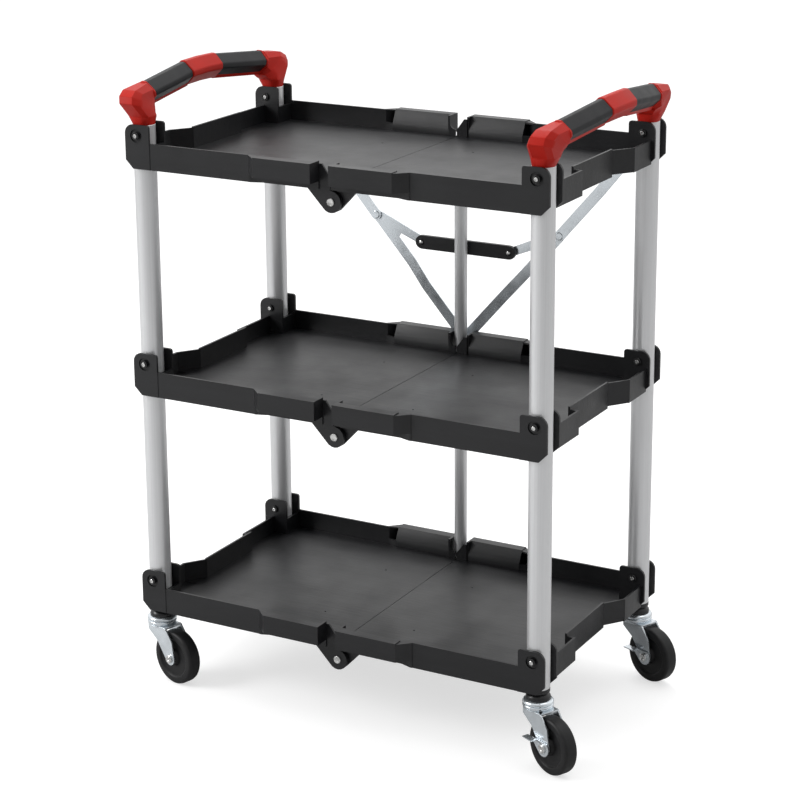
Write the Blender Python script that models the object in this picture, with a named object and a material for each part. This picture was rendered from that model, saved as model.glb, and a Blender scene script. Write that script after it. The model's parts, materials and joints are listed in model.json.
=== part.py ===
"""Three-shelf folding cart: two tubular end frames, six hinged half-trays, a centre post,
folding braces, grip handles and four swivel castors. Sizes below are in millimetres."""
import math

import bmesh
import bpy
from mathutils import Matrix, Vector

# Frame
LEG_SPAN = 610.0
LEG_DEPTH = 336.0
TUBE_D = 31.75
TUBE_WALL = 1.6
TUBE_ABOVE_RACE = 16.0
BOLT_ABOVE_TUBE_END = 43.0
SHELF_PITCH = 328.0
TUBE_ABOVE_BOLT = 13.7

# Leg bolts
BOLT_D = 8.0
BOLT_HEAD_D = 11.2
BOLT_HEAD_T = 3.2
BOLT_HOLE_GAP = 0.35
BOLT_SEAT_GAP = 0.3

# Half-tray: heights are measured from the leg bolts
EAR_FACE = 20.5
EAR_T = 3.6
EAR_OUT = 18.3
EAR_IN = 21.0
EAR_TOP = 15.5
EAR_ROUND = 12.5
EAR_INNER_ROUND = 3.5
EAR_CHAMFER = 12.0
WALL_T = 3.0
WALL_TOP = -9.5
WALL_BOTTOM = -46.5
FLOOR_TOP = -38.5
FLOOR_T = 3.0
SEAM_GAP = 0.8
FLARE_END = 120.0
FLARE_START = 106.0
POCKET_HALF = 17.0
BACK_POCKET_GAP = 1.5
LOWER_WALL_OUT = 15.0
POCKET_OUT = 13.0
LEDGE_START_OUT = 25.0
LEDGE_OUT = 37.0
LEDGE_TOP = -8.5
LEDGE_T = 2.5
SKIRT_BOTTOM = -36.0
CREASE_Z = -26.0
NOTCH_TOP = -12.0
NOTCH_BOTTOM = -28.0
NOTCH_HALF_TOP = 13.0
NOTCH_ARC_R = 8.5
NOTCH_SLIT = 1.3
SLIT_BOTTOM = -36.5
BULGE_FACE = 318.5
BULGE_END = 90.0
BULGE_BOTTOM = -43.0
SET_IN_FACE = 298.0
SET_IN_START = 62.0
SET_IN_END = 60.0
SET_IN_TOP = -8.0
STRAIGHT_FACE = 310.0
STRAIGHT_TOP = -12.5
CORNER_BLOCK_TOP = -14.0
CORNER_BLOCK_GAP = 0.65

# Centre hinges and post
PIN_DROP = 63.0
PIN_D = 6.0
PIN_GAP = 0.3
PIN_HEAD_D = 11.0
PIN_HEAD_T = 2.0
LUG_R = 15.0
LUG_T = 6.0
LUG_GAP = 0.6
LUG_OUT = 12.6
LUG_FOOT = 38.0
LUG_BITE = 2.0
POST_D = 19.0
POST_OUT = 26.0
POST_WALL = 1.5
POST_BELOW_PIN = 13.0
POST_ABOVE_PIN = 16.0

# Handles: ring steps are angle and reach of the points round one quarter; sections are outer
# point, inner point (distance inward from the front leg, height above the bolt), half-width, lean
ELBOW_SECTIONS = (
    ((-15.6, 14.0), (15.6, 14.0), 15.2, 0.0),
    ((-15.7, 25.2), (15.7, 25.2), 16.0, 2.0),
    ((-37.5, 45.5), (19.5, 28.0), 16.6, 4.5),
    ((-34.0, 56.0), (22.0, 31.0), 17.0, 6.5),
    ((-19.0, 63.5), (24.5, 33.5), 17.0, 8.5),
    ((19.5, 69.3), (27.0, 36.2), 16.8, 11.0),
)
BAND_SECTION = ((-39.5, 80.2), (-36.5, 46.2), 17.0, 20.0)
MIDDLE_SECTION = ((0.0, 81.0), (0.0, 47.0), 17.0, 21.0)
BAND_PROUD = 1.05
RING_STEPS = ((7.0, 1.0075), (17.0, 0.974), (73.0, 0.974), (83.0, 1.0075))
CORE_RATIO = 0.72
GRIP_RATIO = 0.97
GRIP_GAP = 0.4
SPIGOT_GAP = 0.35
SPIGOT_LENGTH = 32.0

# Braces: heights from the middle leg bolts
BRACE_FOOT_Z = -22.0
KNUCKLE_X = 152.0
KNUCKLE_Z = 151.0
BAR_RIVET_X = 72.6
BAR_RIVET_Z = 118.0
STRAP_W = 16.0
STRAP_T = 2.5
LINK_SEAT_GAP = 0.7
LINK_BEND_START = 20.0
LINK_BEND_END = 140.0
YOKE_FOOT_T = 2.0
YOKE_FOOT_GAP = 2.0
YOKE_BEND_START = 98.0
YOKE_BEND_END = 140.0
BAR_HALF = 83.0
BAR_R = 10.5
BAR_GAP = 2.0
BAR_T = 6.0
BAR_YOKE_GAP = 0.5
BAR_LIFT = 15.0
BAR_RIVET_R = 4.5
KNUCKLE_RIVET_R = 6.0
RIVET_R = 3.0
RIVET_HEAD_T = 1.3
RIVET_GAP = 0.3

# Castors
WHEEL_D = 80.0
WHEEL_W = 21.0
HUB_W = 26.0
TRAIL = 33.0
FORK_OUTER = 16.0
FORK_T = 2.5
FORK_ABOVE_WHEEL = 5.0
FORK_END_R = 9.5
AXLE_D = 8.0
AXLE_HEAD_R = 6.2
AXLE_HEAD_T = 3.0
AXLE_GAP = 0.3
RACE_R = 21.5
RACE_HEIGHT = 6.0
RACE_GAP = 0.3
DOME_R = 17.2
PLUG_FLANGE_R = 16.1
PLUG_FLANGE_T = 6.0
PLUG_R = 13.9
PLUG_LENGTH = 26.0
PLUG_SEAT_GAP = 0.3
CASTOR_TURN = {"front_left": -15.7, "back_left": -19.0, "back_right": -21.7, "front_right": -25.7}
BRAKED = ("front_right", "back_right")
BRAKE_T = 2.0
BRAKE_R = 11.5
BRAKE_TOP = 9.0
BRAKE_REACH = 22.0
BRAKE_GAP = 0.6

# Facets round a circle
TUBE_SIDES = 24
WHEEL_SIDES = 24
RACE_SIDES = 20
BOLT_SIDES = 10
HOLE_SIDES = 10
RIVET_SIDES = 12

MM = 0.001
HALF_SPAN = LEG_SPAN / 2.0
HALF_DEPTH = LEG_DEPTH / 2.0
FORK_TOP = WHEEL_D + FORK_ABOVE_WHEEL
RACE_SPLIT = FORK_TOP + RACE_HEIGHT
RACE_TOP = RACE_SPLIT + RACE_HEIGHT
TUBE_BOTTOM = RACE_TOP + TUBE_ABOVE_RACE
LOWEST_BOLT = TUBE_BOTTOM + BOLT_ABOVE_TUBE_END
LOWER_WALL_FACE = HALF_DEPTH + LOWER_WALL_OUT
POCKET_FACE = HALF_DEPTH + POCKET_OUT
LEDGE_INNER = HALF_DEPTH + LEDGE_START_OUT
LEDGE_FACE = HALF_DEPTH + LEDGE_OUT
LUG_FACE = HALF_DEPTH + LUG_OUT
BACK_POCKET_HALF = POST_D / 2.0 + BACK_POCKET_GAP
POST_DEPTH = HALF_DEPTH + POST_OUT
POST_BACK = POST_DEPTH + POST_D / 2.0
BAR_FACE = POST_BACK + BAR_GAP
YOKE_FACE = BAR_FACE + BAR_T + BAR_YOKE_GAP
LINK_KNUCKLE_FACE = YOKE_FACE - STRAP_T - RIVET_GAP
LINK_FOOT_FACE = HALF_DEPTH + EAR_FACE + LINK_SEAT_GAP
YOKE_FOOT_FACES = {
    "left": POST_BACK + YOKE_FOOT_GAP,
    "right": POST_BACK + YOKE_FOOT_GAP + YOKE_FOOT_T + RIVET_GAP,
}
SHELVES = {"bottom": 0, "middle": 1, "top": 2}
SIDES = {"left": -1, "right": 1}
CORNERS = {
    "front_left": (-HALF_SPAN, -HALF_DEPTH),
    "back_left": (-HALF_SPAN, HALF_DEPTH),
    "front_right": (HALF_SPAN, -HALF_DEPTH),
    "back_right": (HALF_SPAN, HALF_DEPTH),
}
OUTER_FACE = HALF_DEPTH + EAR_FACE
TUBE_R = TUBE_D / 2.0


def bolt_z(shelf):
    """Height of a shelf's leg bolts above the floor."""
    return LOWEST_BOLT + SHELVES[shelf] * SHELF_PITCH


# Colours
PAINTS = {
    "charcoal plastic": ((0.012, 0.012, 0.013), 0.0, 0.5),
    "brushed aluminium": ((0.62, 0.63, 0.65), 0.9, 0.35),
    "zinc steel": ((0.52, 0.57, 0.62), 0.95, 0.28),
    "red plastic": ((0.62, 0.035, 0.02), 0.0, 0.4),
    "grip rubber": ((0.02, 0.02, 0.022), 0.0, 0.7),
    "wheel rubber": ((0.01, 0.01, 0.011), 0.0, 0.6),
}


def paint(name, part):
    """One Principled material for one part."""
    colour, metallic, roughness = PAINTS[name]
    material = bpy.data.materials.new(f"{part} {name}")
    material.use_nodes = True
    shader = material.node_tree.nodes["Principled BSDF"]
    shader.inputs["Base Color"].default_value = (*colour, 1.0)
    shader.inputs["Metallic"].default_value = metallic
    shader.inputs["Roughness"].default_value = roughness
    return material


# Solid makers: each returns a closed bmesh in millimetres

def ring_solid(rings):
    """Closed solid through rings of equal point count, capped at both ends."""
    bm = bmesh.new()
    rows = [[bm.verts.new(point) for point in ring] for ring in rings]
    count = len(rows[0])
    for low, high in zip(rows, rows[1:]):
        for i in range(count):
            j = (i + 1) % count
            bm.faces.new((low[i], low[j], high[j], high[i]))
    bm.faces.new(list(reversed(rows[0])))
    bm.faces.new(rows[-1])
    bmesh.ops.recalc_face_normals(bm, faces=bm.faces)
    return bm


def sleeve_solid(outer, inner):
    """Closed hollow sleeve between an outer and an inner run of rings."""
    bm = bmesh.new()
    rings = list(outer) + list(reversed(inner))
    rows = [[bm.verts.new(point) for point in ring] for ring in rings]
    count = len(rows[0])
    for low, high in zip(rows, rows[1:] + rows[:1]):
        for i in range(count):
            j = (i + 1) % count
            bm.faces.new((low[i], low[j], high[j], high[i]))
    bmesh.ops.recalc_face_normals(bm, faces=bm.faces)
    return bm


def prism(outline, axis, start, end):
    """Outline pushed along an axis; x takes (y, z), y takes (x, z), z takes (x, y)."""
    place = {
        "x": lambda a, b, d: (d, a, b),
        "y": lambda a, b, d: (a, d, b),
        "z": lambda a, b, d: (a, b, d),
    }[axis]
    return ring_solid([[place(a, b, d) for a, b in outline] for d in (start, end)])


def turned(profile, segments, bored):
    """Profile of (radius, height) turned round Z; a bored profile is a closed loop."""
    circle = [2.0 * math.pi * i / segments for i in range(segments)]
    rings = [[(r * math.cos(t), r * math.sin(t), z) for t in circle] for r, z in profile]
    if not bored:
        return ring_solid(rings)
    bm = bmesh.new()
    rows = [[bm.verts.new(point) for point in ring] for ring in rings]
    for low, high in zip(rows, rows[1:] + rows[:1]):
        for i in range(segments):
            j = (i + 1) % segments
            bm.faces.new((low[i], low[j], high[j], high[i]))
    bmesh.ops.recalc_face_normals(bm, faces=bm.faces)
    return bm


def moved(bm, turn=None, shift=(0.0, 0.0, 0.0)):
    """Turn a solid about the origin, then shift it."""
    matrix = Matrix.Translation(Vector(shift)) @ (turn or Matrix.Identity(4))
    bmesh.ops.transform(bm, matrix=matrix, verts=bm.verts)
    return bm


LIE_ON_Y = Matrix.Rotation(math.radians(90.0), 4, "X")


def rod_y(radius, start, end, x, z, segments=HOLE_SIDES):
    """Round rod along Y from one depth to another."""
    bm = turned([(radius, 0.0), (radius, abs(end - start))], segments, False)
    return moved(bm, LIE_ON_Y, (x, max(start, end), z))


def arc(cx, cz, radius, begin, finish, steps):
    """Points on an arc, angles in degrees."""
    angles = [math.radians(begin + (finish - begin) * i / steps) for i in range(steps + 1)]
    return [(cx + radius * math.cos(t), cz + radius * math.sin(t)) for t in angles]


def to_object(bm, name):
    mesh = bpy.data.meshes.new(name)
    bmesh.ops.scale(bm, vec=(MM, MM, MM), verts=bm.verts)
    bm.to_mesh(mesh)
    bm.free()
    thing = bpy.data.objects.new(name, mesh)
    bpy.context.scene.collection.objects.link(thing)
    return thing


def tidy_flat_faces(mesh):
    """Merge the neighbouring faces that lie in one plane."""
    bm = bmesh.new()
    bm.from_mesh(mesh)
    bmesh.ops.dissolve_limit(bm, angle_limit=math.radians(0.2), verts=bm.verts, edges=bm.edges)
    bm.to_mesh(mesh)
    bm.free()


def combine(name, solids, cuts=()):
    """Join solids and take cuts away, leaving one object with plain mesh data."""
    base = to_object(solids[0], name)
    steps = [("UNION", bm) for bm in solids[1:]] + [("DIFFERENCE", bm) for bm in cuts]
    helpers = []
    for number, (operation, bm) in enumerate(steps):
        helper = to_object(bm, f"{name}_tool_{number}")
        change = base.modifiers.new(f"step {number}", "BOOLEAN")
        change.operation = operation
        change.solver = "EXACT"
        change.object = helper
        helpers.append(helper)
    if helpers:
        graph = bpy.context.evaluated_depsgraph_get()
        result = bpy.data.meshes.new_from_object(base.evaluated_get(graph))
        base.modifiers.clear()
        base.data = result
        tidy_flat_faces(result)
        for helper in helpers:
            bpy.data.objects.remove(helper)
    return base


def finish(thing, colour, origin, smooth_angle=None):
    """Set the origin in world millimetres, the material and the shading."""
    spot = Vector(origin) * MM
    thing.data.transform(Matrix.Translation(-spot))
    thing.location = spot
    thing.data.materials.clear()
    thing.data.materials.append(paint(colour, thing.name))
    if smooth_angle is not None:
        thing.data.shade_smooth()
        thing.data.set_sharp_from_angle(angle=math.radians(smooth_angle))
    return thing


# Legs, end plugs and bolts

def build_leg(corner):
    x, y = CORNERS[corner]
    top = bolt_z("top") + TUBE_ABOVE_BOLT
    inner = TUBE_R - TUBE_WALL
    loop = [(inner, TUBE_BOTTOM), (TUBE_R, TUBE_BOTTOM), (TUBE_R, top), (inner, top)]
    tube = moved(turned(loop, TUBE_SIDES, True), None, (x, y, 0.0))
    hole = BOLT_D / 2.0 + BOLT_HOLE_GAP
    reach = TUBE_R + 5.0
    cuts = [rod_y(hole, y - reach, y + reach, x, bolt_z(shelf)) for shelf in SHELVES]
    leg = combine(f"leg_{corner}", [tube], cuts)
    return finish(leg, "brushed aluminium", (x, y, TUBE_BOTTOM), 30.0)


def bolt_solid(x, start, end, z):
    """Shank with a head at the front end and a nut at the back end."""
    head_r = BOLT_HEAD_D / 2.0
    shank = BOLT_D / 2.0
    length = end - start
    profile = [(head_r - 0.8, -BOLT_HEAD_T), (head_r, 0.0), (shank, 0.0), (shank, length),
               (head_r, length), (head_r, length + BOLT_HEAD_T)]
    return moved(turned(profile, BOLT_SIDES, False), Matrix.Rotation(math.radians(-90.0), 4, "X"),
                 (x, start, z))


def build_leg_bolt(corner, shelf):
    """Plain leg bolt through both ears and the tube."""
    x, y = CORNERS[corner]
    front = -OUTER_FACE - BOLT_SEAT_GAP
    inner = -HALF_DEPTH + EAR_FACE + BOLT_SEAT_GAP
    start, stop = (front, inner) if y < 0.0 else (-inner, -front)
    z = bolt_z(shelf)
    bolt = to_object(bolt_solid(x, start, stop, z), f"leg_bolt_{corner}_{shelf}")
    return finish(bolt, "zinc steel", (x, start, z), 35.0)


def build_brace_bolt(side):
    """Longer top back leg bolt, which also carries the upper link."""
    x = SIDES[side] * HALF_SPAN
    start = HALF_DEPTH - EAR_FACE - BOLT_SEAT_GAP
    seat = LINK_FOOT_FACE + STRAP_T + BOLT_SEAT_GAP
    bolt = to_object(bolt_solid(x, start, seat, bolt_z("top")), f"brace_bolt_{side}")
    return finish(bolt, "zinc steel", (x, start, bolt_z("top")), 35.0)


# Half-tray, drawn as the left half of a shelf with its leg bolts at height zero

def ear_outline():
    """Ear and outer wall in one outline (x, z)."""
    left = -HALF_SPAN - EAR_OUT
    right = -HALF_SPAN + EAR_IN
    small = EAR_INNER_ROUND
    top_right = arc(right - small, EAR_TOP - small, small, 0.0, 90.0, 2)
    top_left = arc(left + EAR_ROUND, EAR_TOP - EAR_ROUND, EAR_ROUND, 90.0, 180.0, 5)
    return (top_right + top_left + [
        (left, WALL_BOTTOM + EAR_CHAMFER), (left + EAR_CHAMFER, WALL_BOTTOM),
    ])


def ear_plate(near, far, reach):
    """Ear plate between two depths, running on as the outer wall to a given x."""
    outline = ear_outline() + [(reach, WALL_BOTTOM), (reach, WALL_TOP)]
    if reach > -HALF_SPAN + EAR_IN + 1.0:
        outline.append((-HALF_SPAN + EAR_IN, WALL_TOP))
    else:
        outline = ear_outline() + [(-HALF_SPAN + EAR_IN, WALL_BOTTOM)]
    return prism(outline, "y", near, far)


def pocket_half(side):
    """Half-width of the set-in pocket: wide in front, just clear of the post behind."""
    return POCKET_HALF if side < 0 else BACK_POCKET_HALF


def flared_wall(side):
    """Wall of the middle stretch: lower wall, outward slope, ledge and skirt."""
    low_in = LOWER_WALL_FACE - WALL_T
    profile = [
        (low_in, WALL_BOTTOM), (low_in, CREASE_Z - 1.5), (LEDGE_INNER - WALL_T, LEDGE_TOP),
        (LEDGE_FACE, LEDGE_TOP), (LEDGE_FACE, SKIRT_BOTTOM),
        (LEDGE_FACE - LEDGE_T, SKIRT_BOTTOM), (LEDGE_FACE - LEDGE_T, LEDGE_TOP - LEDGE_T),
        (LEDGE_INNER, LEDGE_TOP - LEDGE_T), (LOWER_WALL_FACE, CREASE_Z - 2.5),
        (LOWER_WALL_FACE, WALL_BOTTOM),
    ]
    outline = [(side * y, z) for y, z in profile]
    return prism(outline, "x", -FLARE_START, -pocket_half(side))


def flare_end_plates(side):
    """Plates that close the skirt at both ends of the flared stretch."""
    inner = LOWER_WALL_FACE - WALL_T
    half = pocket_half(side)
    pocket = [(-half - WALL_T, side * inner), (-half, side * inner),
              (-half, side * LEDGE_FACE), (-half - WALL_T, side * LEDGE_FACE)]
    slant = [(-FLARE_END - WALL_T, side * OUTER_FACE), (-FLARE_START, side * LEDGE_FACE),
             (-FLARE_START + 2.0, side * LEDGE_FACE),
             (-FLARE_START + 2.0, side * (LEDGE_FACE - 3.0)),
             (-FLARE_END, side * (OUTER_FACE - EAR_T)),
             (-FLARE_END - WALL_T, side * (OUTER_FACE - EAR_T))]
    lower = [(-FLARE_END - WALL_T, side * OUTER_FACE), (-FLARE_END, side * OUTER_FACE),
             (-FLARE_START + 2.0, side * LOWER_WALL_FACE),
             (-FLARE_START + 2.0, side * inner),
             (-FLARE_END - WALL_T, side * (OUTER_FACE - EAR_T))]
    foot = [(-FLARE_END - WALL_T + 1.0, side * (OUTER_FACE - EAR_T + 0.5)),
            (-FLARE_END - WALL_T + 1.0, side * (OUTER_FACE - 0.4)),
            (-FLARE_START, side * (LEDGE_FACE - 0.8)),
            (-FLARE_START + 2.2, side * (LEDGE_FACE - 0.8)),
            (-FLARE_START + 2.2, side * (inner + 0.6))]
    rib = [(side * (inner + 0.7), CREASE_Z - 4.0), (side * (LEDGE_INNER - WALL_T + 0.6), LEDGE_TOP - 0.7),
           (side * (LEDGE_FACE - 0.7), LEDGE_TOP - 0.7), (side * (LEDGE_FACE - 0.7), SKIRT_BOTTOM + 0.6),
           (side * (inner + 0.7), SKIRT_BOTTOM + 0.6)]
    cap = [(-FLARE_END - WALL_T, side * OUTER_FACE), (-FLARE_START, side * LEDGE_FACE),
           (-FLARE_START + 2.0, side * LEDGE_FACE),
           (-FLARE_START + 2.0, side * (LEDGE_INNER - WALL_T)),
           (-FLARE_END - WALL_T, side * (OUTER_FACE - EAR_T))]
    return [
        prism(pocket, "z", SKIRT_BOTTOM, LEDGE_TOP),
        prism(slant, "z", SKIRT_BOTTOM, WALL_TOP),
        prism(lower, "z", WALL_BOTTOM, CREASE_Z - 2.0),
        prism(cap, "z", WALL_TOP - LEDGE_T, WALL_TOP),
        prism(foot, "z", SKIRT_BOTTOM + 0.3, SKIRT_BOTTOM + LEDGE_T + 0.3),
        prism(rib, "x", -FLARE_START + 0.2, -FLARE_START + 2.4),
    ]


def pocket_wall(side):
    """Set-in wall at the hinge with its notch; slanted in front, rounded behind."""
    edge = -SEAM_GAP / 2.0
    left = -pocket_half(side) - 1.0
    outline = [(left, WALL_BOTTOM), (edge, WALL_BOTTOM), (edge, SLIT_BOTTOM - 1.0),
               (-NOTCH_SLIT, SLIT_BOTTOM)]
    if side < 0:
        outline += [(-NOTCH_SLIT, NOTCH_BOTTOM), (-NOTCH_HALF_TOP, NOTCH_TOP)]
    else:
        centre_z = NOTCH_BOTTOM + NOTCH_ARC_R
        outline += arc(-NOTCH_SLIT, centre_z, NOTCH_ARC_R, 270.0, 180.0, 4)
        outline.append((-NOTCH_SLIT - NOTCH_ARC_R, NOTCH_TOP))
    outline.append((left, NOTCH_TOP))
    depths = (side * POCKET_FACE, side * (POCKET_FACE - WALL_T))
    return prism(outline, "y", min(depths), max(depths))


def lug(side):
    """Hinge lug below the floor; the front one is outermost, the back one inside."""
    face = LUG_FACE if side < 0 else LUG_FACE - LUG_T - LUG_GAP
    depths = (side * face, side * (face - LUG_T))
    top = FLOOR_TOP - FLOOR_T + LUG_BITE
    outline = [(-LUG_FOOT, top), (-LUG_FOOT, top - 3.0 - LUG_BITE)]
    outline += arc(0.0, -PIN_DROP, LUG_R, 215.0, 360.0 + 62.0, 11)
    outline += [(-1.0, -PIN_DROP + LUG_R + 1.0), (-1.0, top)]
    return prism(outline, "y", min(depths), max(depths))


def end_wall():
    """Outboard end: bulge, set-in stretch and straight stretch, joined by short plates."""
    near_ear = -HALF_DEPTH + EAR_FACE - 1.0
    bulge_in = -BULGE_FACE + WALL_T
    set_in = -SET_IN_FACE + WALL_T
    straight_in = -STRAIGHT_FACE + WALL_T
    bulge = [(-BULGE_FACE, near_ear), (bulge_in, near_ear), (bulge_in, -BULGE_END),
             (-BULGE_FACE, -BULGE_END)]
    slant = [(-BULGE_FACE, -BULGE_END - 0.5), (bulge_in, -BULGE_END - 0.5),
             (set_in, -SET_IN_START + 0.5), (-SET_IN_FACE, -SET_IN_START + 0.5)]
    middle = [(-SET_IN_FACE, -SET_IN_START), (set_in, -SET_IN_START), (set_in, SET_IN_END + WALL_T),
              (-SET_IN_FACE, SET_IN_END + WALL_T)]
    step = [(-STRAIGHT_FACE, SET_IN_END), (set_in, SET_IN_END), (set_in, SET_IN_END + WALL_T),
            (-STRAIGHT_FACE, SET_IN_END + WALL_T)]
    straight = [(-STRAIGHT_FACE, SET_IN_END), (straight_in, SET_IN_END),
                (straight_in, -near_ear), (-STRAIGHT_FACE, -near_ear)]
    slope = [(-BULGE_FACE, BULGE_BOTTOM), (-BULGE_FACE, BULGE_BOTTOM + WALL_T),
             (set_in, FLOOR_TOP - 0.5), (set_in, FLOOR_TOP - FLOOR_T)]
    return [
        prism(bulge, "z", BULGE_BOTTOM, WALL_TOP),
        prism(slant, "z", BULGE_BOTTOM, WALL_TOP),
        prism(middle, "z", WALL_BOTTOM, SET_IN_TOP),
        prism(step, "z", WALL_BOTTOM, STRAIGHT_TOP),
        prism(straight, "z", WALL_BOTTOM, STRAIGHT_TOP),
        prism(slope, "y", near_ear, -BULGE_END + 2.0),
    ]


def bulge_gusset():
    """Plate that closes the bulge's floor against the slanted stretch."""
    outline = [(-SET_IN_FACE + WALL_T, -SET_IN_START - 1.0), (-SET_IN_FACE + WALL_T, -BULGE_END),
               (-BULGE_FACE + 1.0, -BULGE_END)]
    return prism(outline, "z", BULGE_BOTTOM + 0.3, FLOOR_TOP - 0.3)


def corner_block(side):
    """Inner corner between the two ears, just inboard of the leg tube."""
    right = -HALF_SPAN + EAR_IN
    left = -HALF_SPAN + TUBE_R + CORNER_BLOCK_GAP
    near = side * (OUTER_FACE - 1.0)
    far = side * (HALF_DEPTH - EAR_FACE + 1.0)
    outline = [(left, near), (right, near), (right, far), (left, far)]
    return prism(outline, "z", WALL_BOTTOM, CORNER_BLOCK_TOP)


def floor_panel():
    wall = OUTER_FACE - EAR_T / 2.0
    flared = LOWER_WALL_FACE - WALL_T / 2.0
    pocket = POCKET_FACE - WALL_T / 2.0
    corner_x = -HALF_SPAN + EAR_IN - 1.0
    ear_y = HALF_DEPTH - EAR_FACE + EAR_T / 2.0
    set_in = -SET_IN_FACE + WALL_T / 2.0
    straight = -STRAIGHT_FACE + WALL_T / 2.0
    edge = -SEAM_GAP / 2.0
    front = pocket_half(-1) + WALL_T / 2.0
    back = pocket_half(1) + WALL_T / 2.0
    outline = [
        (edge, -pocket), (-front, -pocket), (-front, -flared),
        (-FLARE_START, -flared), (-FLARE_END, -wall), (corner_x, -wall), (corner_x, -ear_y),
        (set_in, -ear_y), (set_in, SET_IN_END + 1.5), (straight, SET_IN_END + 1.5),
        (straight, ear_y), (corner_x, ear_y), (corner_x, wall), (-FLARE_END, wall),
        (-FLARE_START, flared), (-back, flared), (-back, pocket),
        (edge, pocket),
    ]
    return prism(outline, "z", FLOOR_TOP - FLOOR_T, FLOOR_TOP)


def half_tray_mesh():
    """The one moulding that serves as every half-tray."""
    solids = [floor_panel()]
    for side in (-1, 1):
        outer = (side * OUTER_FACE, side * (OUTER_FACE - EAR_T))
        solids.append(ear_plate(min(outer), max(outer), -FLARE_END))
        inner = (side * (HALF_DEPTH - EAR_FACE), side * (HALF_DEPTH - EAR_FACE + EAR_T))
        solids.append(ear_plate(min(inner), max(inner), -HALF_SPAN))
        solids.append(corner_block(side))
        solids.append(flared_wall(side))
        solids += flare_end_plates(side)
        solids.append(pocket_wall(side))
        solids.append(lug(side))
    solids += end_wall()
    solids.append(bulge_gusset())
    hole = BOLT_D / 2.0 + BOLT_HOLE_GAP
    pin_hole = PIN_D / 2.0 + PIN_GAP
    cuts = []
    for side in (-1, 1):
        y = side * HALF_DEPTH
        cuts.append(rod_y(hole, y - EAR_FACE - 2.0, y + EAR_FACE + 2.0, -HALF_SPAN, 0.0))
        lug_y = side * LUG_FACE
        cuts.append(rod_y(pin_hole, lug_y - 20.0, lug_y + 20.0, 0.0, -PIN_DROP))
    moulding = combine("moulding", solids, cuts)
    mesh = moulding.data
    bpy.data.objects.remove(moulding)
    return mesh


def build_half_tray(mesh, shelf, side):
    """Left halves turn at the left bolts, right halves at the hinge pin."""
    name = f"tray_{shelf}_{side}"
    tray = bpy.data.objects.new(name, mesh.copy())
    bpy.context.scene.collection.objects.link(tray)
    z = bolt_z(shelf)
    if side == "right":
        tray.data.transform(Matrix.Rotation(math.pi, 4, "Z"))
    tray.data.transform(Matrix.Translation((0.0, 0.0, z * MM)))
    origin = (-HALF_SPAN, 0.0, z) if side == "left" else (0.0, 0.0, z - PIN_DROP)
    return finish(tray, "charcoal plastic", origin)


# Hinge pins and centre post

def pin_solid(start, end, z):
    """Hinge pin with a flat head at its front end."""
    shank = PIN_D / 2.0
    head = PIN_HEAD_D / 2.0
    length = end - start
    profile = [(head - 0.6, -PIN_HEAD_T), (head, -PIN_HEAD_T + 0.6), (head, 0.0),
               (shank, 0.0), (shank, length)]
    return moved(turned(profile, BOLT_SIDES, False), Matrix.Rotation(math.radians(-90.0), 4, "X"),
                 (0.0, start, z))


def build_hinge_pin(shelf, end):
    """Pin through one pair of lugs; the back one also carries the post."""
    z = bolt_z(shelf) - PIN_DROP
    stack = 2.0 * LUG_T + LUG_GAP
    if end == "front":
        start = -LUG_FACE - PIN_GAP
        stop = -LUG_FACE + stack + 1.0
    else:
        start = LUG_FACE - stack - PIN_GAP
        stop = POST_DEPTH + POST_D / 2.0 + 1.0
    pin = to_object(pin_solid(start, stop, z), f"hinge_pin_{end}_{shelf}")
    return finish(pin, "zinc steel", (0.0, start, z), 35.0)


def build_post():
    bottom = bolt_z("bottom") - PIN_DROP - POST_BELOW_PIN
    top = bolt_z("top") - PIN_DROP + POST_ABOVE_PIN
    outer = POST_D / 2.0
    inner = outer - POST_WALL
    loop = [(inner, bottom), (outer, bottom), (outer, top), (inner, top)]
    tube = moved(turned(loop, TUBE_SIDES, True), None, (0.0, POST_DEPTH, 0.0))
    near = POST_DEPTH - outer - 2.0
    far = POST_DEPTH + outer + 2.0
    hole = PIN_D / 2.0 + PIN_GAP
    cuts = [rod_y(hole, near, far, 0.0, bolt_z(shelf) - PIN_DROP) for shelf in SHELVES]
    foot = bolt_z("middle") + BRACE_FOOT_Z
    cuts.append(rod_y(RIVET_R + RIVET_GAP, POST_DEPTH, far, 0.0, foot))
    post = combine("centre_post", [tube], cuts)
    origin = (0.0, POST_DEPTH, bolt_z("middle") - PIN_DROP)
    return finish(post, "brushed aluminium", origin, 30.0)


# Handles

def at_leg(section):
    """Elbow section with its depths counted from the middle of the cart."""
    (outer_y, outer_z), (inner_y, inner_z), half_width, lean = section
    return ((outer_y - HALF_DEPTH, outer_z), (inner_y - HALF_DEPTH, inner_z), half_width, lean)


def section_ring(side, end, section, ratio=1.0, along=0.0, round_ring=False):
    """Ring of points for one handle section, flat-sided with cut corners or round; end is -1
    in front and 1 behind."""
    (outer_y, outer_z), (inner_y, inner_z), half_width, lean = section
    centre_y = (outer_y + inner_y) / 2.0
    centre_z = (outer_z + inner_z) / 2.0
    half_y = (outer_y - inner_y) / 2.0 * ratio
    half_z = (outer_z - inner_z) / 2.0 * ratio
    length = math.hypot(half_y, half_z)
    run_y = -half_z / length
    run_z = half_y / length
    if run_y < 0.0:
        run_y, run_z = -run_y, -run_z
    points = []
    for quarter in range(4):
        for angle, corner_reach in RING_STEPS:
            t = math.radians(90.0 * quarter + angle)
            reach = 1.0 if round_ring else corner_reach
            swing = math.cos(t) * reach
            y = centre_y + half_y * swing + run_y * along
            z = centre_z + half_z * swing + run_z * along
            x = side * (HALF_SPAN + lean + half_width * ratio * reach * math.sin(t))
            points.append((x, -end * y, bolt_z("top") + z))
    return points


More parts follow.
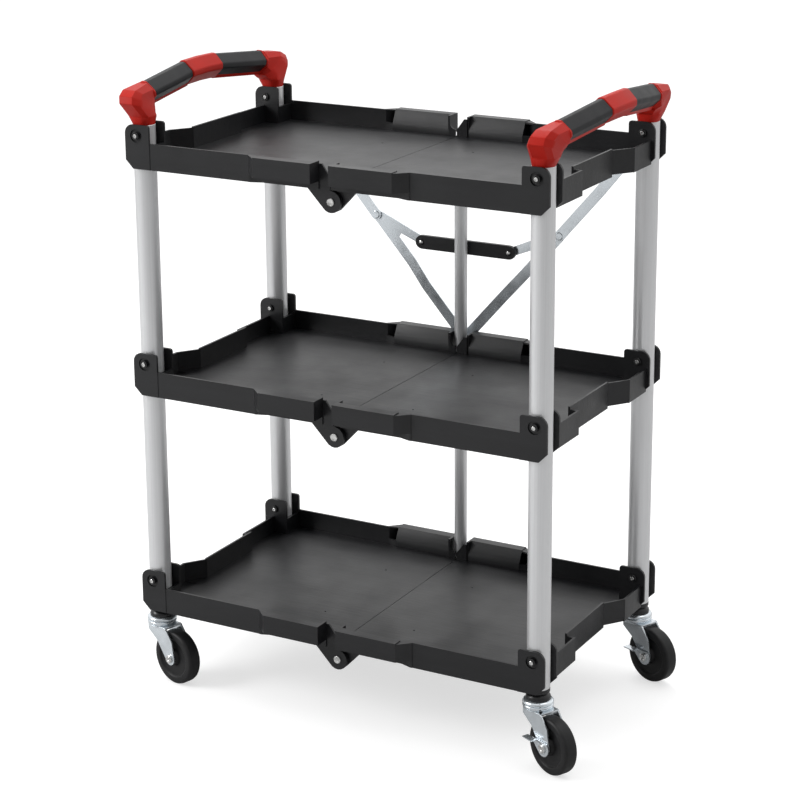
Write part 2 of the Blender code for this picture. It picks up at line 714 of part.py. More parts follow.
def build_handle(side_name):
    """Red handle: elbows and middle band in full section, a thinner core under the grips."""
    side = SIDES[side_name]
    spigot_r = TUBE_R - TUBE_WALL - SPIGOT_GAP
    elbow = [at_leg(section) for section in ELBOW_SECTIONS]
    base = elbow[0]
    cheek = elbow[-1]
    seat = base[0][1]

    def spigot(drop):
        return ((-HALF_DEPTH - spigot_r, seat - drop), (-HALF_DEPTH + spigot_r, seat - drop),
                spigot_r, base[3])

    def half(end):
        rings = [section_ring(side, end, spigot(SPIGOT_LENGTH), round_ring=True)]
        rings.append(section_ring(side, end, spigot(0.0), round_ring=True))
        rings += [section_ring(side, end, section) for section in elbow]
        rings.append(section_ring(side, end, cheek, CORE_RATIO))
        rings.append(section_ring(side, end, BAND_SECTION, CORE_RATIO))
        rings.append(section_ring(side, end, BAND_SECTION, BAND_PROUD))
        return rings

    middle = [section_ring(side, -1, MIDDLE_SECTION, BAND_PROUD)]
    rings = half(-1) + middle + list(reversed(half(1)))
    cuts = []
    for y in (-HALF_DEPTH, HALF_DEPTH):
        reach = TUBE_R + 3.0
        cuts.append(rod_y(BOLT_D / 2.0 + BOLT_HOLE_GAP, y - reach, y + reach,
                          side * HALF_SPAN, bolt_z("top")))
    handle = combine(f"handle_{side_name}", [ring_solid(rings)], cuts)
    origin = (side * HALF_SPAN, 0.0, bolt_z("top"))
    return finish(handle, "red plastic", origin, 40.0)


def build_grip(side_name, end_name, end):
    """Soft sleeve between an elbow and the middle band."""
    side = SIDES[side_name]
    cheek = at_leg(ELBOW_SECTIONS[-1])
    core = CORE_RATIO + GRIP_GAP / cheek[2]
    stations = ((cheek, GRIP_GAP), (BAND_SECTION, -GRIP_GAP))
    outer = [section_ring(side, end, section, GRIP_RATIO, along) for section, along in stations]
    inner = [section_ring(side, end, section, core, along) for section, along in stations]
    name = f"grip_{end_name}_{side_name}"
    grip = to_object(sleeve_solid(outer, inner), name)
    origin = (side * HALF_SPAN, 0.0, bolt_z("top"))
    return finish(grip, "grip rubber", origin, 40.0)


# Braces

def strap(start, end, stations, thickness, round_steps=4):
    """Flat bar from start to end (x, z); stations give (distance, near face depth)."""
    direction = Vector((end[0] - start[0], end[1] - start[1])).normalized()
    normal = Vector((-direction.y, direction.x))
    length = math.hypot(end[0] - start[0], end[1] - start[1])
    half = STRAP_W / 2.0
    angles = [math.pi / 2.0 * i / round_steps for i in range(1, round_steps)]
    first = [(-half * math.cos(t), half * math.sin(t)) for t in [0.12] + angles]
    last = [(length + half * math.sin(t), half * math.cos(t)) for t in angles + [1.45]]
    body = [(0.0, half)] + [(s, half) for s, _ in stations if 0.0 < s < length]
    body.append((length, half))

    def depth(s):
        if s <= stations[0][0]:
            return stations[0][1]
        for (s0, d0), (s1, d1) in zip(stations, stations[1:]):
            if s <= s1:
                return d0 + (d1 - d0) * (s - s0) / (s1 - s0)
        return stations[-1][1]

    rings = []
    for s, width in first + body + last:
        near = depth(s)
        ring = []
        for across, y in ((-width, near), (width, near), (width, near + thickness),
                          (-width, near + thickness)):
            x = start[0] + direction.x * s + normal.x * across
            z = start[1] + direction.y * s + normal.y * across
            ring.append((x, y, z))
        rings.append(ring)
    return ring_solid(rings)


def brace_points(side):
    """Foot, knuckle, bar rivet and leg pivot of one brace in world x and z."""
    middle = bolt_z("middle")
    return {
        "foot": (0.0, middle + BRACE_FOOT_Z),
        "knuckle": (side * KNUCKLE_X, middle + KNUCKLE_Z),
        "rivet": (side * BAR_RIVET_X, middle + BAR_RIVET_Z),
        "leg": (side * HALF_SPAN, bolt_z("top")),
    }


def rivet_head(radius, start, x, z, depth):
    """Low round head facing the front, with its back at a given depth."""
    profile = [(radius - 1.2, start - RIVET_HEAD_T), (radius, start - RIVET_HEAD_T / 2.0),
               (radius, depth)]
    return moved(turned(profile, RIVET_SIDES, False), Matrix.Rotation(math.radians(-90.0), 4, "X"),
                 (x, 0.0, z))


def build_link(side_name):
    """Upper link from the top back leg bolt to the knuckle, with the knuckle rivet."""
    at = brace_points(SIDES[side_name])
    stations = ((LINK_BEND_START, LINK_FOOT_FACE), (LINK_BEND_END, LINK_KNUCKLE_FACE))
    bar = strap(at["leg"], at["knuckle"], stations, STRAP_T)
    head = rivet_head(KNUCKLE_RIVET_R, LINK_KNUCKLE_FACE, *at["knuckle"],
                      LINK_KNUCKLE_FACE + STRAP_T / 2.0)
    hole = rod_y(BOLT_D / 2.0 + BOLT_HOLE_GAP, LINK_FOOT_FACE - 3.0,
                 LINK_FOOT_FACE + STRAP_T + 3.0, *at["leg"])
    link = combine(f"upper_link_{side_name}", [bar, head], [hole])
    origin = (at["leg"][0], LINK_FOOT_FACE, at["leg"][1])
    return finish(link, "zinc steel", origin)


def build_yoke(side_name):
    """Y-shaped plate: long strip to the post, short branch to the pull bar."""
    side = SIDES[side_name]
    at = brace_points(side)
    foot_face = YOKE_FOOT_FACES[side_name]
    stations = ((YOKE_BEND_START, foot_face), (YOKE_BEND_END, YOKE_FACE))
    strip = strap(at["foot"], at["knuckle"], stations, YOKE_FOOT_T)
    knuckle_x, knuckle_z = KNUCKLE_X, KNUCKLE_Z
    middle = bolt_z("middle")
    web = [(knuckle_x + 3.0, knuckle_z + 7.4), (knuckle_x - 12.0, knuckle_z + 3.0)]
    web += [(x, z) for x, z in arc(BAR_RIVET_X, BAR_RIVET_Z, BAR_R - 1.0, 62.0, 250.0, 8)]
    web += [(knuckle_x - 41.0, knuckle_z - 25.0), (knuckle_x - 34.0, knuckle_z - 38.0)]
    outline = [(side * x, middle + z) for x, z in web]
    branch = prism(outline, "y", YOKE_FACE, YOKE_FACE + YOKE_FOOT_T)
    near = BAR_FACE - 2.0
    far = YOKE_FACE + 6.0
    cuts = [
        rod_y(RIVET_R + RIVET_GAP, near, far, *at["foot"]),
        rod_y(RIVET_R + RIVET_GAP, near, far, *at["rivet"]),
    ]
    yoke = combine(f"brace_yoke_{side_name}", [strip, branch], cuts)
    origin = (at["foot"][0], foot_face, at["foot"][1])
    return finish(yoke, "zinc steel", origin)


def build_brace_pivot():
    """Pin at the back of the post that both yokes turn on."""
    z = bolt_z("middle") + BRACE_FOOT_Z
    start = POST_DEPTH + POST_D / 2.0 - POST_WALL - 1.0
    seat = YOKE_FOOT_FACES["right"] + YOKE_FOOT_T + RIVET_GAP
    length = seat - start
    profile = [(RIVET_R, 0.0), (RIVET_R, length), (KNUCKLE_RIVET_R, length),
               (KNUCKLE_RIVET_R, length + RIVET_HEAD_T)]
    pin = moved(turned(profile, BOLT_SIDES, False), Matrix.Rotation(math.radians(-90.0), 4, "X"),
                (0.0, start, z))
    return finish(to_object(pin, "brace_pivot_pin"), "zinc steel", (0.0, start, z), 35.0)


def build_pull_bar():
    """Black bar behind the post with a rivet at each end, lifted to free the braces."""
    z = bolt_z("middle") + BAR_RIVET_Z
    centre = BAR_HALF - BAR_R
    outline = arc(centre, z, BAR_R, -90.0, 90.0, 8) + arc(-centre, z, BAR_R, 90.0, 270.0, 8)
    slab = prism(outline, "y", BAR_FACE, BAR_FACE + BAR_T)
    heads = [rivet_head(BAR_RIVET_R, BAR_FACE, x, z, BAR_FACE + BAR_T / 2.0)
             for x in (-BAR_RIVET_X, BAR_RIVET_X)]
    bar = combine("pull_bar", [slab] + heads)
    return finish(bar, "charcoal plastic", (0.0, BAR_FACE, z))


# Castors, drawn trailing along +X with the swivel axis through the origin

def castor_frame(corner):
    x, y = CORNERS[corner]
    turn = Matrix.Rotation(math.radians(CASTOR_TURN[corner]), 4, "Z")
    return Matrix.Translation((x, y, 0.0)) @ turn


def placed(bm, corner):
    bmesh.ops.transform(bm, matrix=castor_frame(corner), verts=bm.verts)
    return bm


def build_castor_stem(corner):
    """Upper ring, dome and the plug that fills the end of the leg tube."""
    seat = TUBE_BOTTOM - PLUG_SEAT_GAP
    flange = TUBE_BOTTOM - PLUG_FLANGE_T
    profile = [(6.0, RACE_SPLIT + RACE_GAP), (RACE_R - 1.0, RACE_SPLIT + RACE_GAP),
               (RACE_R, RACE_SPLIT + 1.5), (RACE_R - 1.6, RACE_TOP - 0.8),
               (DOME_R, RACE_TOP), (DOME_R - 0.4, RACE_TOP + 4.5), (DOME_R - 3.4, flange - 1.4),
               (DOME_R - 5.0, flange), (PLUG_FLANGE_R - 1.0, flange),
               (PLUG_FLANGE_R, flange + 1.0), (PLUG_FLANGE_R, seat), (PLUG_R, seat),
               (PLUG_R, TUBE_BOTTOM + PLUG_LENGTH)]
    stem = to_object(placed(turned(profile, RACE_SIDES, False), corner), f"castor_stem_{corner}")
    return finish(stem, "zinc steel", (*CORNERS[corner], RACE_SPLIT), 35.0)


def fork_side(depth):
    """Tapered side plate with a rounded end at the axle."""
    axle_z = WHEEL_D / 2.0
    top = FORK_TOP - 0.6
    outline = [(-13.0, top), (-13.0, top - 9.0), (6.0, top - 22.0)]
    outline += arc(TRAIL, axle_z, FORK_END_R, 190.0, 370.0, 10)
    outline += [(TRAIL + 5.0, top - 17.0), (TRAIL - 8.5, top)]
    return prism(outline, "y", depth, depth + FORK_T)


def build_fork(corner):
    """Lower ring, top plate and the two side plates."""
    ring = turned([(RACE_R - 3.0, FORK_TOP - 0.5), (RACE_R - 0.5, FORK_TOP + 1.5),
                   (RACE_R, RACE_SPLIT - 1.5), (RACE_R - 1.5, RACE_SPLIT)], RACE_SIDES, False)
    plate_outline = arc(0.0, 0.0, RACE_R - 1.5, 50.0, 310.0, 13)
    edge = FORK_OUTER - 0.5
    plate_outline += [(TRAIL - 8.0, -edge), (TRAIL - 8.0, edge)]
    plate = prism(plate_outline, "z", FORK_TOP - FORK_T, FORK_TOP)
    sides = [fork_side(-FORK_OUTER), fork_side(FORK_OUTER - FORK_T)]
    hole = AXLE_D / 2.0 + AXLE_GAP
    cut = rod_y(hole, -FORK_OUTER - 2.0, FORK_OUTER + 2.0, TRAIL, WHEEL_D / 2.0)
    solids = [placed(bm, corner) for bm in [plate] + sides + [ring]]
    fork = combine(f"castor_fork_{corner}", solids, [placed(cut, corner)])
    return finish(fork, "zinc steel", (*CORNERS[corner], RACE_SPLIT), 35.0)


def build_wheel(corner):
    """Tyre with rounded edges, dished sides and a hub boss."""
    r = WHEEL_D / 2.0
    w = WHEEL_W / 2.0
    bore = AXLE_D / 2.0 + AXLE_GAP
    side = [(bore, HUB_W / 2.0), (11.0, HUB_W / 2.0), (12.5, w - 3.5), (r - 13.0, w - 3.5),
            (r - 11.0, w), (r - 2.5, w), (r, w - 3.5)]
    profile = side + [(radius, -z) for radius, z in reversed(side)]
    bm = moved(turned(profile, WHEEL_SIDES, True), LIE_ON_Y, (TRAIL, 0.0, r))
    wheel = to_object(placed(bm, corner), f"wheel_{corner}")
    centre = castor_frame(corner) @ Vector((TRAIL, 0.0, r))
    return finish(wheel, "wheel rubber", centre, 35.0)


def build_axle(corner):
    """Axle bolt with a head on each side of the fork."""
    seat = FORK_OUTER + AXLE_GAP
    if corner in BRAKED:
        front = FORK_OUTER + BRAKE_GAP + BRAKE_T + AXLE_GAP
    else:
        front = seat
    r = AXLE_D / 2.0
    profile = [(AXLE_HEAD_R - 1.0, -seat - AXLE_HEAD_T), (AXLE_HEAD_R, -seat), (r, -seat),
               (r, front), (AXLE_HEAD_R, front), (AXLE_HEAD_R - 1.0, front + AXLE_HEAD_T)]
    bm = moved(turned(profile, BOLT_SIDES, False), LIE_ON_Y, (TRAIL, 0.0, WHEEL_D / 2.0))
    axle = to_object(placed(bm, corner), f"axle_{corner}")
    centre = castor_frame(corner) @ Vector((TRAIL, 0.0, WHEEL_D / 2.0))
    return finish(axle, "zinc steel", centre, 35.0)


def build_brake(corner):
    """Pressed brake lever beside the fork, with a tab to step on."""
    axle_z = WHEEL_D / 2.0
    near = -FORK_OUTER - BRAKE_GAP - BRAKE_T
    far = -FORK_OUTER - BRAKE_GAP
    fan = arc(TRAIL, axle_z, BRAKE_R, -140.0, 48.0, 9)
    fan += [(TRAIL + 6.0, axle_z + BRAKE_TOP), (TRAIL - BRAKE_REACH, axle_z + BRAKE_TOP),
            (TRAIL - BRAKE_REACH, axle_z + BRAKE_TOP - 3.0)]
    plate = prism(fan, "y", near, far)
    tab_outline = [(TRAIL - BRAKE_REACH - 11.0, axle_z + BRAKE_TOP - 1.6),
                   (TRAIL - BRAKE_REACH + 9.0, axle_z + BRAKE_TOP - 2.1),
                   (TRAIL - BRAKE_REACH + 9.0, axle_z + BRAKE_TOP - 0.2),
                   (TRAIL - BRAKE_REACH - 11.0, axle_z + BRAKE_TOP - 0.3)]
    tab = prism(tab_outline, "y", near - 9.0, far - 0.5)
    hole = AXLE_D / 2.0 + AXLE_GAP
    cut = rod_y(hole, near - 2.0, far + 2.0, TRAIL, axle_z)
    solids = [placed(plate, corner), placed(tab, corner)]
    brake = combine(f"brake_lever_{corner}", solids, [placed(cut, corner)])
    centre = castor_frame(corner) @ Vector((TRAIL, near, axle_z))
    return finish(brake, "zinc steel", centre)


def centre_on_origin():
    """Shift everything so that the middle of the overall box stands over the origin."""
    points = [thing.location + vertex.co for thing in bpy.data.objects for vertex in thing.data.vertices]
    middle_x = (min(point.x for point in points) + max(point.x for point in points)) / 2.0
    middle_y = (min(point.y for point in points) + max(point.y for point in points)) / 2.0
    for thing in bpy.data.objects:
        thing.location -= Vector((middle_x, middle_y, 0.0))


def main():
    for thing in list(bpy.data.objects):
        bpy.data.objects.remove(thing)
    for corner in CORNERS:
        build_leg(corner)
        build_castor_stem(corner)
        build_fork(corner)
        build_wheel(corner)
        build_axle(corner)
    for corner in BRAKED:
        build_brake(corner)
    moulding = half_tray_mesh()
    for shelf in SHELVES:
        for side in SIDES:
            build_half_tray(moulding, shelf, side)
        for corner in CORNERS:
            if shelf != "top" or corner.startswith("front"):
                build_leg_bolt(corner, shelf)
        build_hinge_pin(shelf, "front")
        build_hinge_pin(shelf, "back")
    build_post()
    build_brace_pivot()
    build_pull_bar()
    for side in SIDES:
        build_brace_bolt(side)
        build_handle(side)
        build_grip(side, "front", -1)
        build_grip(side, "back", 1)
        build_link(side)
        build_yoke(side)
    bpy.data.meshes.remove(moulding)
    centre_on_origin()


main()
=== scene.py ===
import json
import math

import bpy
from mathutils import Matrix, Vector


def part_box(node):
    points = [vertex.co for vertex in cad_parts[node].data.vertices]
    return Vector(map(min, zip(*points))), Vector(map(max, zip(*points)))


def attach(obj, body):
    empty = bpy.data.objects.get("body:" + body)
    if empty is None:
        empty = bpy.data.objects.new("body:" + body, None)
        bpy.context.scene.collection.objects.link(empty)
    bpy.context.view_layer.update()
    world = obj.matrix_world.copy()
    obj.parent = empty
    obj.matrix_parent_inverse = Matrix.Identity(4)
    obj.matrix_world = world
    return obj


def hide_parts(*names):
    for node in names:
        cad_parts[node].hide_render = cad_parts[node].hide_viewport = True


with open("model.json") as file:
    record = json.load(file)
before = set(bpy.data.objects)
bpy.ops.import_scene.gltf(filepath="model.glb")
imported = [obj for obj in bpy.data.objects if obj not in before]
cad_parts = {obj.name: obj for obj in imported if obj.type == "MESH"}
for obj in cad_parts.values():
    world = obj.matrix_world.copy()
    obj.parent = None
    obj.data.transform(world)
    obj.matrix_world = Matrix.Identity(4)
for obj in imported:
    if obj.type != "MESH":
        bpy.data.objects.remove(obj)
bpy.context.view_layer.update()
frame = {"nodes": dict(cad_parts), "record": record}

BODY_OF = {
    node: body
    for body, nodes in frame["record"]["behaviour"]["bodies"].items()
    for node in nodes
}
MM = 0.001

# Main lines of the cart
HALF_SPAN = 305.0 * MM
LEG_DEPTH = 168.0
HALF_DEPTH = LEG_DEPTH * MM
BOLT_Z = {"bottom": 156.0 * MM, "middle": 484.0 * MM, "top": 812.0 * MM}
SIDES = {"left": -1.0, "right": 1.0}
CORNERS = {
    "front_left": (-HALF_SPAN, -HALF_DEPTH),
    "back_left": (-HALF_SPAN, HALF_DEPTH),
    "front_right": (HALF_SPAN, -HALF_DEPTH),
    "back_right": (HALF_SPAN, HALF_DEPTH),
}
LEG_LOW, LEG_HIGH = (Vector(corner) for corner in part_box("leg_front_left"))
LEG_AXIS = (LEG_LOW + LEG_HIGH) / 2.0
# Pieces are drawn about the middle of the four legs, and moved there when they are dressed
MIDDLE = Vector((LEG_AXIS.x + HALF_SPAN, LEG_AXIS.y + HALF_DEPTH, 0.0))
EAR_REACH = 20.5 * MM
OUTER_FACE = HALF_DEPTH + EAR_REACH
INNER_FACE = HALF_DEPTH - EAR_REACH

# Leg tubes and their cross holes
TUBE_R = 15.875 * MM
TUBE_WALL = 1.6 * MM
TUBE_BOTTOM = 113.0 * MM
TUBE_ABOVE_BOLT = 13.7 * MM
TUBE_TOP = BOLT_Z["top"] + TUBE_ABOVE_BOLT
TUBE_EDGE = 0.4
LEG_BORE_R = 4.35 * MM
LEG_BORE_REACH = 20.0 * MM

# Centre post, held by the back hinge pins
PIN_DROP = 63.0 * MM
POST_R = 9.5 * MM
POST_DEPTH = 194.0 * MM
POST_WALL = 1.5
POST_BELOW_PIN = 13.0
POST_ABOVE_PIN = 16.0
POST_BORE_R = 3.3 * MM
POST_BORE_REACH = 12.0 * MM

# Half-tray: bolt seats in the ears, walls set back beside them, dimples in the floor
SEAT_R = 9.4 * MM
SEAT_DEPTH = 2.2
CUT_PAST = 2.0
EAR_EDGE = 21.6
SET_BACK_FACE = 187.8
SET_BACK_PAST = 192.0
SET_BACK_END = -123.4
SET_BACK_HEIGHT = 60.0
DIMPLE_R = 1.5 * MM
DIMPLE_CUT = 2.4 * MM
DIMPLE_X = -73.0 * MM
DIMPLE_Y = 90.0
FLOOR_DROP = 38.5

# Fasteners: the gap under a head, the depth and thickness of the upper link's foot, and the
# first and last depth of the hinge pins
HEAD_GAP = 0.3
LINK_FOOT = 189.2
LINK_STRAP = 2.5
HINGE_PINS = (("front", -180.9, -167.0), ("back", 167.7, 204.5))
BAR_RIVET_X = 72.6 * MM
BAR_RIVET_SEAT = 1.3 * MM

# Castors
WHEEL_R = 40.0 * MM
TRAIL = 33.0 * MM
FORK_OUTER = 16.0
LEVER_GAP = 0.6
LEVER_T = 2.0
AXLE_GAP = 0.3
CASTOR_TURN = {
    "front_left": -15.7, "back_left": -19.0, "back_right": -21.7, "front_right": -25.7,
}
BRAKED = ("front_right", "back_right")

# Meshes taken from the frame: merged corners, faces made whole, rounded edges
MERGE_GAP = 0.002 * MM
FLAT_ANGLE = 0.05
EDGE_STEPS = 2
TRAY_ROUNDING = 0.7
STRAP_ROUNDING = 0.3
BAR_ROUNDING = 0.8
FORK_ROUNDING = 0.5
LEVER_ROUNDING = 0.4

# Sides of the round pieces
TUBE_SIDES = 72
POST_SIDES = 64
BORE_SIDES = 24
SEAT_SIDES = 48
DIMPLE_SIDES = 20
HEAD_SIDES = 40
STUD_SIDES = 32
PIN_SIDES = 32
RIVET_SIDES = 28
RACE_SIDES = 64
WHEEL_SIDES = 96
HEXAGON = 6


# Finishes

# Most of a noise texture's values lie between these two
NOISE_LOW = 0.3
NOISE_HIGH = 0.7


def finish_tree(name, colour, roughness, metallic, specular):
    """A new finish: its material, node tree and shader, with object coordinates ready."""
    material = bpy.data.materials.new(name)
    material.use_nodes = True
    tree = material.node_tree
    shader = tree.nodes["Principled BSDF"]
    shader.inputs["Base Color"].default_value = (*colour, 1.0)
    shader.inputs["Roughness"].default_value = roughness
    shader.inputs["Metallic"].default_value = metallic
    shader.inputs["Specular IOR Level"].default_value = specular
    place = tree.nodes.new("ShaderNodeTexCoord")
    return material, tree, shader, place.outputs["Object"]


def stretched(tree, place, scale):
    """Object coordinates stretched along the axes."""
    node = tree.nodes.new("ShaderNodeMapping")
    node.inputs["Scale"].default_value = scale
    tree.links.new(place, node.inputs["Vector"])
    return node.outputs["Vector"]


def noise(tree, place, scale, detail=2.0, roughness=0.5):
    """Noise texture read at a place."""
    node = tree.nodes.new("ShaderNodeTexNoise")
    node.inputs["Scale"].default_value = scale
    node.inputs["Detail"].default_value = detail
    node.inputs["Roughness"].default_value = roughness
    tree.links.new(place, node.inputs["Vector"])
    return node.outputs["Fac"]


def spread(tree, value, low, high):
    """Noise value carried over to a range."""
    node = tree.nodes.new("ShaderNodeMapRange")
    node.inputs["From Min"].default_value = NOISE_LOW
    node.inputs["From Max"].default_value = NOISE_HIGH
    node.inputs["To Min"].default_value = low
    node.inputs["To Max"].default_value = high
    tree.links.new(value, node.inputs["Value"])
    return node.outputs["Result"]


def tinted(tree, factor, low, high):
    """Colour between two tints."""
    node = tree.nodes.new("ShaderNodeMix")
    node.data_type = "RGBA"
    node.inputs["A"].default_value = (*low, 1.0)
    node.inputs["B"].default_value = (*high, 1.0)
    tree.links.new(factor, node.inputs["Factor"])
    return node.outputs["Result"]


def relief(tree, shader, height, distance, strength, under=None):
    """Bump of a given depth, laid over another one if there is one."""
    node = tree.nodes.new("ShaderNodeBump")
    node.inputs["Strength"].default_value = strength
    node.inputs["Distance"].default_value = distance
    tree.links.new(height, node.inputs["Height"])
    if under is not None:
        tree.links.new(under, node.inputs["Normal"])
    tree.links.new(node.outputs["Normal"], shader.inputs["Normal"])
    return node.outputs["Normal"]


def scaled(colour, factor):
    """Colour made darker or lighter."""
    return tuple(min(1.0, part * factor) for part in colour)


def charcoal_moulding():
    """Near-black moulded plastic with a fine spark-eroded grain, scuffs and flow marks."""
    colour = (0.0062, 0.0064, 0.0076)
    material, tree, shader, place = finish_tree("charcoal moulding", colour, 0.34, 0.0, 0.5)
    clouds = noise(tree, place, 14.0, 3.0)
    streaks = noise(tree, stretched(tree, place, (6.0, 120.0, 60.0)), 1.0, 3.0)
    tint = tinted(tree, spread(tree, streaks, 0.0, 1.0), scaled(colour, 0.8), scaled(colour, 1.25))
    tree.links.new(tint, shader.inputs["Base Color"])
    tree.links.new(spread(tree, clouds, 0.33, 0.47), shader.inputs["Roughness"])
    scuffs = noise(tree, stretched(tree, place, (40.0, 260.0, 260.0)), 1.0, 4.0, 0.6)
    grain = relief(tree, shader, noise(tree, place, 2200.0, 2.0), 0.00006, 0.5)
    worn = relief(tree, shader, scuffs, 0.0006, 0.3, grain)
    relief(tree, shader, streaks, 0.0008, 0.2, worn)
    return material


def satin_aluminium():
    """Anodised tube with fine lengthwise draw lines."""
    colour = (0.76, 0.765, 0.775)
    material, tree, shader, place = finish_tree("satin aluminium", colour, 0.36, 0.6, 0.5)
    lines = noise(tree, stretched(tree, place, (700.0, 700.0, 5.0)), 1.0, 2.0, 0.5)
    clouds = noise(tree, place, 18.0, 2.0)
    tint = tinted(tree, spread(tree, lines, 0.0, 1.0), scaled(colour, 0.97), scaled(colour, 1.03))
    tree.links.new(tint, shader.inputs["Base Color"])
    tree.links.new(spread(tree, clouds, 0.32, 0.4), shader.inputs["Roughness"])
    relief(tree, shader, lines, 0.00003, 0.2)
    return material


def bright_zinc():
    """Blue-grey zinc plating with faint crystals."""
    colour = (0.78, 0.83, 0.87)
    material, tree, shader, place = finish_tree("bright zinc", colour, 0.2, 0.85, 0.5)
    clouds = noise(tree, place, 45.0, 3.0)
    tint = tinted(tree, spread(tree, clouds, 0.0, 1.0), scaled(colour, 0.93), scaled(colour, 1.1))
    tree.links.new(tint, shader.inputs["Base Color"])
    tree.links.new(spread(tree, clouds, 0.16, 0.28), shader.inputs["Roughness"])
    relief(tree, shader, clouds, 0.00008, 0.25)
    return material


def red_moulding():
    """Red moulded plastic with a light satin grain."""
    colour = (0.47, 0.017, 0.010)
    material, tree, shader, place = finish_tree("red moulding", colour, 0.42, 0.0, 0.12)
    clouds = noise(tree, place, 30.0, 3.0)
    tint = tinted(tree, spread(tree, clouds, 0.0, 1.0), scaled(colour, 0.92), scaled(colour, 1.06))
    tree.links.new(tint, shader.inputs["Base Color"])
    tree.links.new(spread(tree, clouds, 0.36, 0.46), shader.inputs["Roughness"])
    relief(tree, shader, noise(tree, place, 1500.0, 2.0), 0.00006, 0.5)
    return material


def grip_rubber():
    """Dark grey soft rubber with a fine matt grain."""
    colour = (0.010, 0.0105, 0.012)
    material, tree, shader, place = finish_tree("grip rubber", colour, 0.52, 0.0, 0.3)
    clouds = noise(tree, place, 40.0, 3.0)
    tint = tinted(tree, spread(tree, clouds, 0.0, 1.0), scaled(colour, 0.85), scaled(colour, 1.2))
    tree.links.new(tint, shader.inputs["Base Color"])
    tree.links.new(spread(tree, clouds, 0.44, 0.56), shader.inputs["Roughness"])
    relief(tree, shader, noise(tree, place, 1800.0, 3.0), 0.00008, 0.6)
    return material


def tread_rubber():
    """Black wheel rubber with dusty patches."""
    colour = (0.0075, 0.0075, 0.008)
    material, tree, shader, place = finish_tree("tread rubber", colour, 0.46, 0.0, 0.35)
    dust = noise(tree, place, 160.0, 4.0, 0.65)
    tint = tinted(tree, spread(tree, dust, 0.0, 1.0), scaled(colour, 0.8), scaled(colour, 1.7))
    tree.links.new(tint, shader.inputs["Base Color"])
    tree.links.new(spread(tree, dust, 0.38, 0.56), shader.inputs["Roughness"])
    relief(tree, shader, noise(tree, place, 1300.0, 2.0), 0.0001, 0.5)
    return material


def black_steel():
    """Glossy black paint over steel, slightly orange-peeled."""
    colour = (0.009, 0.009, 0.010)
    material, tree, shader, place = finish_tree("black steel", colour, 0.3, 0.0, 0.5)
    peel = noise(tree, place, 420.0, 2.0)
    tint = tinted(tree, spread(tree, peel, 0.0, 1.0), scaled(colour, 0.8), scaled(colour, 1.4))
    tree.links.new(tint, shader.inputs["Base Color"])
    tree.links.new(spread(tree, peel, 0.26, 0.36), shader.inputs["Roughness"])
    relief(tree, shader, peel, 0.0001, 0.25)
    return material


def polished_steel():
    """Bright fastener steel with fine turning marks."""
    colour = (0.72, 0.72, 0.71)
    material, tree, shader, place = finish_tree("polished steel", colour, 0.22, 1.0, 0.5)
    marks = noise(tree, place, 700.0, 3.0)
    tint = tinted(tree, spread(tree, marks, 0.0, 1.0), scaled(colour, 0.88), scaled(colour, 1.08))
    tree.links.new(tint, shader.inputs["Base Color"])
    tree.links.new(spread(tree, marks, 0.17, 0.3), shader.inputs["Roughness"])
    relief(tree, shader, marks, 0.00005, 0.3)
    return material


CHARCOAL = charcoal_moulding()
ALUMINIUM = satin_aluminium()
ZINC = bright_zinc()
RED = red_moulding()
GRIP = grip_rubber()
TREAD = tread_rubber()
BLACK = black_steel()
STEEL = polished_steel()


# Bench work: selecting, placing, turning and joining

def pick(piece):
    """Select one piece alone."""
    bpy.ops.object.select_all(action="DESELECT")
    piece.select_set(True)
    bpy.context.view_layer.objects.active = piece


def settle(piece, matrix=None):
    """Carry the piece's place over into its mesh."""
    if matrix is not None:
        piece.matrix_world = matrix @ piece.matrix_world
    pick(piece)
    bpy.ops.object.transform_apply(location=True, rotation=True, scale=True)
    return piece


def turned(name, profile, sides, bored=False):
    """Circle extruded and resized along a profile of (radius, height), turned about Z."""
    bpy.ops.object.select_all(action="DESELECT")
    radius, height = profile[0]
    bpy.ops.mesh.primitive_circle_add(
        vertices=sides, radius=radius * MM, location=(0.0, 0.0, height * MM),
    )
    piece = bpy.context.active_object
    piece.name = name
    settle(piece)
    bpy.ops.object.mode_set(mode="EDIT")
    bpy.ops.mesh.select_all(action="SELECT")
    for (r0, z0), (r1, z1) in zip(profile, profile[1:]):
        step = {"value": (0.0, 0.0, (z1 - z0) * MM)}
        bpy.ops.mesh.extrude_edges_move(TRANSFORM_OT_translate=step)
        size = r1 / r0
        bpy.ops.transform.resize(value=(size, size, 1.0), center_override=(0.0, 0.0, z1 * MM))
    bpy.ops.mesh.select_all(action="DESELECT")
    if bored:
        bpy.ops.mesh.select_non_manifold()
        bpy.ops.mesh.bridge_edge_loops()
    else:
        bpy.ops.mesh.select_all(action="SELECT")
        bpy.ops.mesh.fill_holes(sides=0)
    bpy.ops.mesh.select_all(action="SELECT")
    bpy.ops.mesh.normals_make_consistent(inside=False)
    bpy.ops.object.mode_set(mode="OBJECT")
    return piece


def twin(piece, name, matrix=None):
    """A copy with its own mesh, moved by a matrix."""
    copy = bpy.data.objects.new(name, piece.data.copy())
    bpy.context.scene.collection.objects.link(copy)
    if matrix is not None:
        copy.data.transform(matrix)
    return copy


def smooth(piece, angle):
    """Smooth shading with edges over an angle left sharp."""
    pick(piece)
    bpy.ops.object.shade_smooth_by_angle(angle=math.radians(angle))
    return piece


def even(piece, angle):
    """Smooth shading that leaves the wide faces flat."""
    smooth(piece, angle)
    change = piece.modifiers.new("shading", "WEIGHTED_NORMAL")
    change.keep_sharp = True
    change.weight = 100
    bpy.ops.object.modifier_apply(modifier=change.name)
    return piece


